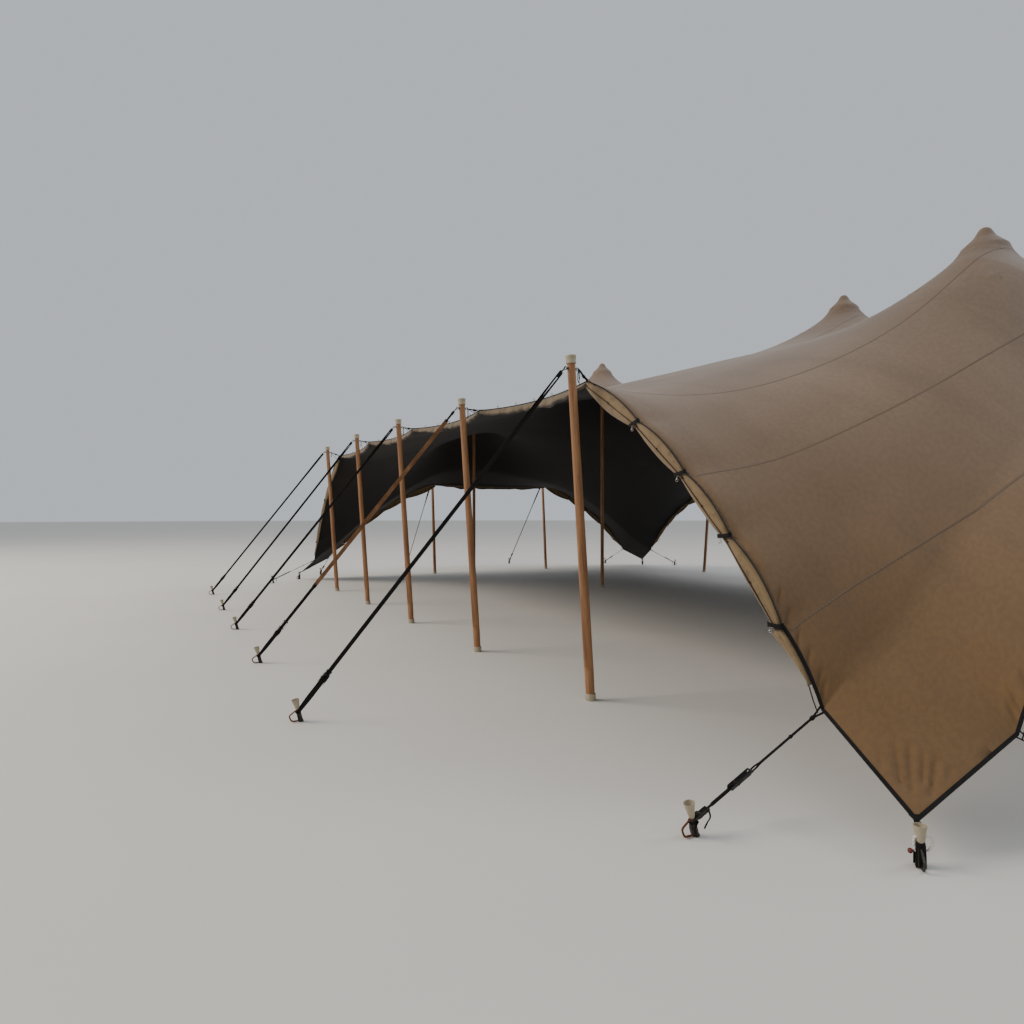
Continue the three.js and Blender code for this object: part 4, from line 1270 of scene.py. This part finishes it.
tan_webbing = webbing_finish("tan_polyester_webbing", "9E744F", "6C4A30", 0.78)


def bent_ring(corners, radius, bar, flat):
    """A closed ring of round bar bent round corners; flat is square to its plane."""
    corners = points_of(corners)
    path = [(corners[-1] + corners[0]) / 2]
    for k, corner in enumerate(corners):
        start = corner + unit(corners[k - 1] - corner) * radius
        end = corner + unit(corners[(k + 1) % len(corners)] - corner) * radius
        for t in np.linspace(0, 1, 5):
            path.append(start * (1 - t) ** 2 + corner * 2 * t * (1 - t) + end * t ** 2)
    path = np.array([*path, path[0]])
    ahead = unit(np.gradient(path, axis=0))
    ahead[0] = ahead[-1] = unit(path[1] - path[-2])
    ups = np.repeat(unit(np.array(flat, float))[None], len(path), 0)
    return swept(path, unit(np.cross(ups, ahead)), ups, ring_outline(bar))


def doubled_strap(start, end, level, twist, gap, half=GUY_HALF, steps=48, narrow=lambda s: 1):
    """A closed loop of webbing from start to end. At each share of its length, twist says how far
    it is turned from level, in radians, gap how far each ply stands off the middle line, and
    narrow how much of its width it keeps."""
    start, end, level = points_of((start, end, level))
    axis = unit(end - start)
    level = unit(level - axis * level.dot(axis))
    lift = np.cross(axis, level)
    shares = np.linspace(0, 1, steps)
    turns = np.linspace(0, math.pi, 7)[1:-1]
    places = [(s, 0) for s in shares] + [(1, a) for a in turns] + [(s, math.pi) for s in shares[::-1]]
    places += [(0, math.pi + a) for a in turns] + [(0, math.tau)]
    path, sides = [], []
    for s, a in places:
        across = level * math.cos(twist(s)) + lift * math.sin(twist(s))
        stands = np.cross(axis, across) * math.cos(a) + axis * math.sin(a)
        path.append(start + (end - start) * s + stands * gap(s))
        sides.append(across)
    path = np.array(path)
    ahead = unit(np.gradient(path, axis=0))
    sides = squared(np.array(sides), ahead)
    widths = [narrow(s) for s, _ in places]
    return swept(path, sides, np.cross(ahead, sides), strap_outline(half, PLY), widths)


def wrap(place, along, long, radius):
    """A few turns of strap wound tight round a strap's end."""
    rings = 4
    profile = [(0, -long / 2)]
    for k in range(rings):
        low, high = (k / rings - 0.5) * long, ((k + 1) / rings - 0.5) * long
        swell = radius * (0.86 + 0.14 * math.sin(math.pi * (k + 0.5) / rings))
        profile += [(swell * 0.88, low + 0.0004), (swell, low + (high - low) * 0.3),
                    (swell, low + (high - low) * 0.7), (swell * 0.88, high - 0.0004)]
    return set_at(turned([*profile, (0, long / 2)], 14), place, along, UPWARDS.cross(Vector(along)))


for name, foot, out, height, *_, drift in POLES:
    guy = f"{name}_guy"
    eye = eye_place(foot, out, height, POLE_TOP_R + EYE_REACH)
    stake = foot + out * GUY_REACH - Vector((drift, 0, 0))
    held_at = stake + (UPWARDS + out * STAKE_LEAN) * STRAP_ON_STAKE
    pull = (held_at - eye).normalized()
    level = UPWARDS.cross(pull).normalized()
    ratchet = eye.lerp(held_at, RATCHET_AT)
    tan = name == "front_2"
    HELD[guy] = (stake, out, pull, level, ratchet)
    RATCHETS.append((guy, ratchet, pull, level.cross(pull), TAN_RATCHET if tan else GUY_RATCHET))

    middle = eye + pull * (LINK_LONG / 2 - LINK_ON)
    top, low = middle - pull * LINK_LONG / 2, middle + pull * LINK_LONG / 2
    narrow, wide = level * LINK_WIDE * 0.36, level * LINK_WIDE / 2
    corners = [top - narrow, top + narrow, low + wide, low - wide]
    ring = bent_ring(corners, 0.011, LINK_BAR, level.cross(pull))
    gate = [middle + level * LINK_WIDE * 0.44 + pull * t for t in (-0.016, 0.013)]
    link = joined([ring, bolt(*gate, LINK_BAR + 0.0015)])
    fit(f"{guy}_link", "steel", link, dark_steel, stands_for=[guy])

    pin = low - pull * 0.002
    drum = ratchet + pull * DRUM_ON
    wound = wrap(pin + pull * WRAP_LONG * 0.55, pull, WRAP_LONG, WRAP_R)

    def edgeways(s):
        return 0.5 + (math.pi / 2 - 0.5) * ease(s, 0, 0.3)

    def opened(s):
        return 0.011 * (1 - ease(s, 0.03, 0.32)) + 0.0015

    if tan:
        long = (drum - pin).length
        start, end = pin.lerp(drum, TAN_FROM), pin.lerp(drum, TAN_TO)
        upper = doubled_strap(
            start - pull * 0.01, end + pull * 0.01, level,
            lambda s: math.pi / 2 + 0.3 * math.sin(math.tau * s * long / TWIST_PITCH),
            lambda s: 0.0018, TAN_HALF, 90,
        )
        fit(f"{guy}_tan_strap", "tan_webbing", upper, tan_webbing, stands_for=[guy])
        strap = [
            wound, doubled_strap(pin, start + pull * 0.01, level, edgeways, lambda s: 0.004, 0.011, 10),
            wrap(start, pull, 0.03, 0.015), wrap(end, pull, 0.04, 0.021),
            # The black strap from the end of the tan down to the ratchet is painted shade.
            doubled_strap(end, drum, level, lambda s: math.pi / 2, lambda s: 0.003, GUY_HALF, 12),
        ]
    else:
        strap = [wound, doubled_strap(pin, drum, level, edgeways, opened)]
    fit(f"{guy}_strap", "webbing", joined(strap), black_webbing, stands_for=[guy])

# Edge straps
# Beside every corner two straps hold the bound edge down. Two short strands grip the edge and
# meet in a knot, and a narrow strap goes on to two ratchets and a leaning stake.
ANCHOR_REACH, ANCHOR_RATCHET_AT, SECOND_RATCHET_AT = 0.94, 0.667, 0.935
KNOT_ON, EDGE_HALF, EDGE_TURN, LOWER_HALF = 0.088, 0.0065, -0.72, 0.0105
EDGE_RATCHET, SECOND_RATCHET = (0.0145, 0.155, 0.165, 0.0145), (0.0145, 0.085, 0.06, 0.018)

EDGE_STRAPS = []  # name, anchor, outwards, side, whether it is at that side's last corner
for side, y in (("front", -1), ("back", 1)):
    for end, x in (("right", 1), ("left", -1)):
        anchors = Vector(LONG_ANCHOR * (x, y, 1)), Vector(SHORT_ANCHOR * (x, y, 1))
        EDGE_STRAPS.append((f"{side}_{end}_row_strap", anchors[0], Vector((0, y, 0)), side, x < 0))
        EDGE_STRAPS.append((f"{side}_{end}_end_strap", anchors[1], Vector((x, 0, 0)), end, y > 0))

for name, anchor, out, side, far in EDGE_STRAPS:
    stake = anchor + out * ANCHOR_REACH
    stake.z = 0
    held_at = stake + (UPWARDS + out * STAKE_LEAN) * STRAP_ON_STAKE
    pull = (held_at - anchor).normalized()
    level = UPWARDS.cross(pull).normalized()
    ratchet = anchor.lerp(held_at, ANCHOR_RATCHET_AT)
    second = anchor.lerp(held_at, SECOND_RATCHET_AT)
    HELD[name] = (stake, out, pull, level, second)
    RATCHETS.append((name, ratchet, pull, level, EDGE_RATCHET))
    RATCHETS.append((f"{name}_second", second, pull, level, SECOND_RATCHET))

    knot = anchor + pull * KNOT_ON
    mouth = ratchet + pull * DRUM_ON
    strands = []
    for way in (-0.25, 0.25):
        place = FOOT_STEPS * FINE + way
        gripped = Vector(on_line(LINES[side], len(LINES[side]) - 1 - place if far else place))
        ends = gripped - pull * 0.012, knot
        strands.append(doubled_strap(*ends, level, lambda s: EDGE_TURN, lambda s: 0.0014, 0.0055, 8))
    strands.append(wrap(knot, pull, 0.024, 0.013))
    strands.append(doubled_strap(
        knot, mouth, level, lambda s: EDGE_TURN * (1 - ease(s, 0.55, 0.78)),
        lambda s: 0.0018 + 0.007 * math.sin(math.pi * min(1, max(0, (s - 0.68) / 0.2))) ** 2,
        EDGE_HALF, 60,
    ))
    strands.append(wrap(knot.lerp(mouth, 0.3), pull, 0.016, 0.0105))
    fit(f"{name}_upper", "webbing", joined(strands), black_webbing, stands_for=[name])
    between = doubled_strap(
        mouth, second - pull * 0.028, level, lambda s: math.pi / 2 * ease(min(s, 1 - s), 0, 0.22),
        lambda s: 0.0022, LOWER_HALF, 16,
    )
    fit(f"{name}_between", "webbing", between, black_webbing)

# Ratchets
# Pressed and plated steel: two side plates carry a slotted drum with a toothed wheel at either
# end, a fixed bar and a folding handle with a black grip. The strap fills the frame.
PLATE_THICK, DRUM_R, TEETH, WHEEL_THICK = 0.0022, 0.0105, 12, 0.0025

# Black, ribbed for the hand, with dusty scuffs.
black_grip = finish("black_moulded_nylon_grip")
own = node(black_grip, "Attribute", {}, "Vector", attribute_name="own_place")
scuffs = node(black_grip, "TexNoise", {"Vector": own, "Scale": 160, "Detail": 5})
shown = node(black_grip, "MapRange", {0: scuffs, 1: 0.52, 2: 0.72})
ribs = node(black_grip, "TexWave", {"Vector": own, "Scale": bands(0.005)}, "Fac", bands_direction="X")
shade(black_grip, {
    "Base Color": node(black_grip, "Mix", {0: shown, 6: "111113", 7: "35332F"}),
    "Normal": node(black_grip, "Bump", {"Height": ribs, "Strength": 0.6, "Distance": 0.001}),
    "Roughness": 0.6,
})


def plate(long, tall, thick, ease_by, moved):
    """A pressed plate in the YZ plane with its four corners rounded."""
    made = bmesh.new()
    bmesh.ops.create_cube(made, size=1)
    bmesh.ops.scale(made, vec=(thick, tall, long), verts=made.verts)
    bars = [e for e in made.edges if abs((e.verts[0].co - e.verts[1].co).normalized().x) > 0.9]
    bmesh.ops.bevel(
        made, geom=bars, offset=ease_by, segments=4, profile=0.5, affect="EDGES", material=-1,
    )
    bmesh.ops.translate(made, vec=moved, verts=made.verts)
    return made


def laid_across(made, x, y, z):
    """Work made upright, laid along the ratchet's X."""
    turn = Matrix.Rotation(math.pi / 2, 4, "Y")
    turn.translation = (x, y, z)
    bmesh.ops.transform(made, matrix=turn, verts=made.verts)
    return made


def cross_bar(radius, half, y, z, sides=16):
    profile = [(0, -half), (radius - 0.0008, -half), (radius, -half + 0.0008), (radius, half - 0.0008)]
    return laid_across(turned([*profile, (radius - 0.0008, half), (0, half)], sides), 0, y, z)


def toothed_wheel(x, z, radius):
    made = bmesh.new()
    bmesh.ops.create_circle(made, cap_ends=True, segments=2 * TEETH, radius=radius)
    for k, vert in enumerate(made.verts):
        if k % 2:
            vert.co *= 0.82
    found = bmesh.ops.extrude_face_region(made, geom=list(made.faces))
    raised = [e for e in found["geom"] if isinstance(e, bmesh.types.BMVert)]
    bmesh.ops.translate(made, vec=(0, 0, WHEEL_THICK), verts=raised)
    bmesh.ops.recalc_face_normals(made, faces=made.faces)
    return laid_across(made, x, 0, z)


for name, ratchet, pull, across, (apart, long, handle, deep) in RATCHETS:
    metal = []
    for way in (-1, 1):
        metal.append(plate(long, deep, PLATE_THICK, deep * 0.44, (way * apart, 0, 0)))
        arm = (way * (apart + 0.004), deep * 0.4, 0.07 - handle / 2)
        metal.append(plate(handle, deep * 0.8, PLATE_THICK, deep * 0.35, arm))
        metal.append(toothed_wheel(way * (apart - 0.003) - WHEEL_THICK / 2, DRUM_ON, deep * 0.7))
    metal.append(cross_bar(0.0045, apart + 0.003, 0, 0.01 - long / 2))
    metal.append(cross_bar(DRUM_R * 0.6, apart + 0.007, 0, DRUM_ON))
    grip = cross_bar(deep * 0.36, apart + 0.005, deep * 0.45, 0.076 - handle, 20)
    turns = [cross_bar(DRUM_R, apart - 0.004, 0, DRUM_ON)]
    turns.append(plate(long * 0.92, deep * 0.6, 2 * apart - 0.008, 0.004, (0, 0, -0.004)))
    for part, slot, works, material in (
        ("ratchet", "steel", metal, dark_steel), ("ratchet_grip", "steel", [grip], black_grip),
        ("turns", "webbing", turns, black_webbing),
    ):
        works = joined([set_at(work, ratchet, pull, across) for work in works])
        fit(f"{name}_{part}", slot, works, material)

# Lower loops
# A second loop goes from each strap's last ratchet round its stake, and its end is turned down
# over the stake to the ground. A short tail hangs from the ratchet.
for name, (stake, out, pull, level, ratchet) in HELD.items():
    guy = name[-3:] == "guy"
    half, drop, hung, tail_half = (0.0205, 0.065, 0.012, 0.009) if guy else (0.012, 0.085, 0.02, 0.006)
    lean = UPWARDS + out * STAKE_LEAN
    held_at = stake + lean * STRAP_ON_STAKE
    webbing = [doubled_strap(
        ratchet + pull * DRUM_ON, held_at, level.cross(pull) if guy else level,
        lambda s, guy=guy: 0 if guy else math.pi / 2 * ease(s, 0.1, 0.7),
        lambda s: 0.003 + 0.0185 * ease(s, 0.35, 0.97), half, 30, lambda s: 1 - 0.3 * ease(s, 0.5, 1),
    )]
    for way in (-1, 1):
        foot = stake + level * way * 0.013 + out * 0.01
        end = [held_at + level * way * 0.021 - pull * 0.016, foot + lean * 0.045, foot + UPWARDS * 0.004]
        webbing.append(flat_strap(eased_path(end, 8), level, 0.0115, 0.003))
    near = ratchet - pull * 0.03 + level * hung
    tail = [near, near + level * 0.01 - UPWARDS * 0.3 * drop, near + out * 0.012 - UPWARDS * 0.7 * drop,
            near + out * 0.03 - UPWARDS * drop]
    webbing.append(flat_strap(eased_path(tail, 12), out, tail_half, PLY))
    fit(f"{name}_lower_loop", "webbing", joined(webbing), black_webbing)

# Stakes
# A forged stake is driven in at the foot of every strap and leans away from its pull. It has a
# cream cup over its head and a bent bar loop on its outer side that has rusted orange brown.
LOOP_OUT, LOOP_LOW, LOOP_HIGH, LOOP_BAR = 0.078, 0.008, 0.092, 0.0056
STAKE_BODY = [
    (0, 0.006), (0.0185, 0.006), (0.019, 0.01), (0.0182, 0.05), (0.0186, 0.08), (0.0165, 0.09),
    (0.013, 0.096), (0.0125, 0.104), (0, 0.106),
]
STAKE_BASE = [(0, 0), (0.019, 0), (0.021, 0.002), (0.021, 0.01), (0.0195, 0.012), (0, 0.012)]
CUP = [
    (0, 0.098), (0.0115, 0.096), (0.0145, 0.0985), (0.0172, 0.112), (0.0212, 0.136), (0.026, 0.16),
    (0.0291, 0.1705), (0.03, 0.1745), (0.029, 0.176), (0.0272, 0.1752), (0.0256, 0.17), (0.0212, 0.15),
    (0.017, 0.146), (0, 0.1455),
]

# Orange-brown blooms of rust over a dark, pitted bar.
rusted_steel = finish("rusted_mild_steel_bar")
where = node(rusted_steel, "TexCoord", {}, "Object")
blooms = node(rusted_steel, "TexNoise", {"Vector": where, "Scale": 70, "Detail": 8, "Roughness": 0.7})
pits = node(rusted_steel, "TexNoise", {"Vector": where, "Scale": 320, "Detail": 4})
ramp = node(rusted_steel, "MapRange", {0: blooms, 1: 0.38, 2: 0.62})
shade(rusted_steel, {
    "Base Color": node(rusted_steel, "Mix", {0: ramp, 6: "3A2216", 7: "7E4526"}),
    "Normal": node(rusted_steel, "Bump", {"Height": pits, "Strength": 0.5, "Distance": 0.0006}),
    "Roughness": 0.85, "Metallic": 0.2,
})


def stake_loop(stake, out, flat, slope):
    """The bent bar on a stake's outer side."""
    bends = [(0.012, LOOP_LOW), (LOOP_OUT - 0.008, LOOP_LOW), (LOOP_OUT, 0.052), (0.03, LOOP_HIGH - 0.012),
             (0.012, LOOP_HIGH)]
    corners = [stake + out * (x + slope * z) + UPWARDS * z for x, z in bends]
    return bent_ring(corners, 0.016, LOOP_BAR, flat)


for name, (stake, out, _, level, _) in HELD.items():
    lean = UPWARDS + out * STAKE_LEAN
    body, cup = [[(r, z * lean.length) for r, z in profile] for profile in (STAKE_BODY, CUP)]
    body = joined([set_at(turned(body, 20), stake, lean, level), set_at(turned(STAKE_BASE, 20), stake)])
    fit(f"{name}_stake", "steel", body, dark_steel)
    fit(f"{name}_stake_cup", "cap", set_at(turned(cup, 28), stake, lean, level), cap_plastic)
    loop = stake_loop(stake, out, out.cross(UPWARDS), STAKE_LEAN)
    fit(f"{name}_stake_loop", "steel", loop, rusted_steel)

# Corner stakes
# An upright stake stands under each webbing corner. A sewn tab joins the corner to it, two
# webbing loops are turned down over its body, and a white cord is tied round it below the cup.
CORNER_OUT, CORNER_LIFT, CUP_RIM, TAB_HALF = 0.06, 0.014, 0.174, 0.013
PATCH_HALF, PATCH_DEEP, CORD_HALF = 0.03, 0.046, 0.0062
LOBES = ((-0.0125, 0.0115), (0.0125, 0.009))  # a broad one on one side of the stake, a slimmer one
TIE_BOWS = (  # the white cord's two bows, sideways from the stake and up
    ((-0.012, 0.14), (-0.023, 0.138), (-0.028, 0.12), (-0.026, 0.095), (-0.021, 0.073)),
    ((0.012, 0.15), (0.027, 0.147), (0.042, 0.143), (0.05, 0.126), (0.042, 0.1), (0.027, 0.076)),
)
KNOB = [
    (0, -0.0115), (0.006, -0.0108), (0.0105, -0.0065), (0.0115, 0), (0.0105, 0.0065), (0.006, 0.0108),
    (0, 0.0115),
]

white_rope = braided("white_braided_cord", "F2F0EA", "C4C0B6")
# A pale webbing used only for a painted highlight on the broad loop.
highlight_webbing = webbing_finish("painted_highlight_webbing", "5E5346", "342B23", 0.8)
# A dull brownish red under a little dust.
red_plastic = finish("red_brown_moulded_plastic")
own = node(red_plastic, "Attribute", {}, "Vector", attribute_name="own_place")
dusty = node(red_plastic, "TexNoise", {"Vector": own, "Scale": 120, "Detail": 4})
reds = node(red_plastic, "Mix", {0: dusty, 6: "4A130D", 7: "752C20"})
shade(red_plastic, {"Base Color": reds, "Roughness": 0.5})

for name, mirror_x, mirror_y in (
    ("front_right", 1, -1), ("front_left", -1, -1), ("back_right", 1, 1), ("back_left", -1, 1),
):
    name += "_corner_stake"
    corner = Vector(CORNER * (mirror_x, mirror_y, 1))
    out = Vector((mirror_x, mirror_y, 0)).normalized()
    sideways = UPWARDS.cross(out) * (-mirror_x * mirror_y)
    stake = corner + out * CORNER_OUT
    stake.z = 0
    lifted = [(r, z if z < 0.06 else z + CORNER_LIFT) for r, z in STAKE_BODY]
    body = joined([set_at(turned(profile, 20), stake) for profile in (lifted, STAKE_BASE)])
    fit(f"{name}_body", "steel", body, dark_steel, stands_for=[name])
    # this cup is less tapered than the straps' ones
    cup = [(min(r, 0.03) + 0.006 * (0.176 - z) / 0.08 * (r > 0), z + CORNER_LIFT) for r, z in CUP]
    fit(f"{name}_cup", "cap", set_at(turned(cup, 28), stake), cap_plastic)
    fit(f"{name}_loop", "steel", stake_loop(stake, out, sideways, 0), dark_steel)

    rim = stake + UPWARDS * (CUP_RIM + CORNER_LIFT)
    facing = Vector(cloth_up[0 if mirror_x > 0 else -1, 0 if mirror_y < 0 else -1])
    inward = (-out - facing * facing.dot(-out)).normalized()
    tab = [corner + inward * 0.022 + facing * 0.008, corner + facing * 0.0085, corner - inward * 0.012,
           rim - out * 0.034 + UPWARDS * 0.003, rim - out * 0.034 - UPWARDS * 0.03]
    webbing = [flat_strap(eased_path(tab, 14), sideways, TAB_HALF, 0.003)]
    for middle, half in LOBES:
        shoulder = stake + sideways * middle * 0.72 + UPWARDS * 0.118
        foot = stake + sideways * middle
        lobe = [foot - out * 0.02 + UPWARDS * 0.004, foot - out * 0.018 + UPWARDS * 0.06,
                shoulder - out * 0.012, shoulder + out * 0.014, foot + out * 0.022 + UPWARDS * 0.06,
                foot + out * 0.026 + UPWARDS * 0.004]
        webbing.append(flat_strap(eased_path(lobe, 18), sideways, half, 0.004))
    patch = bmesh.new()
    tips = [(0, -0.012, 0), (PATCH_HALF, PATCH_DEEP - 0.012, 0), (-PATCH_HALF, PATCH_DEEP - 0.012, 0)]
    patch.faces.new([patch.verts.new(tip) for tip in tips])
    bmesh.ops.bevel(
        patch, geom=list(patch.verts), offset=0.005, segments=3, profile=0.5, affect="VERTICES",
        material=-1,
    )
    bmesh.ops.solidify(patch, geom=list(patch.faces), thickness=0.003)
    bmesh.ops.recalc_face_normals(patch, faces=patch.faces)
    webbing.append(set_at(patch, corner + facing * 0.0075, facing, sideways))
    fit(f"{name}_tab", "webbing", joined(webbing), black_webbing)
    # A thin pale strip down the outer face of the broad loop: a painted highlight.
    strip = [stake - sideways * x + out * y + UPWARDS * z
             for x, y, z in ((0.01, 0.02, 0.115), (0.0125, 0.0265, 0.06), (0.0125, 0.031, 0.004))]
    strip = flat_strap(eased_path(strip, 8), sideways, 0.003, 0.003)
    fit(f"{name}_strip", "webbing", strip, highlight_webbing)

    ties = []
    for bow in TIE_BOWS:
        path = [stake + sideways * x + out * 0.01 + UPWARDS * z for x, z in bow]
        ties.append(rod(eased_path(path, 20), CORD_HALF))
    ties.append(hoop(stake + UPWARDS * 0.11, out, sideways, 0.03, 0.03, CORD_HALF * 0.8, 24))
    fit(f"{name}_tie", "rope", joined(ties), white_rope)
    knob_at = stake - sideways * 0.043 + out * 0.012 + UPWARDS * 0.072
    stem = bolt(knob_at, knob_at.lerp(stake + UPWARDS * 0.08, 0.7), 0.004)
    fit(f"{name}_knob", "cap", joined([set_at(turned(KNOB, 16), knob_at), stem]), red_plastic)
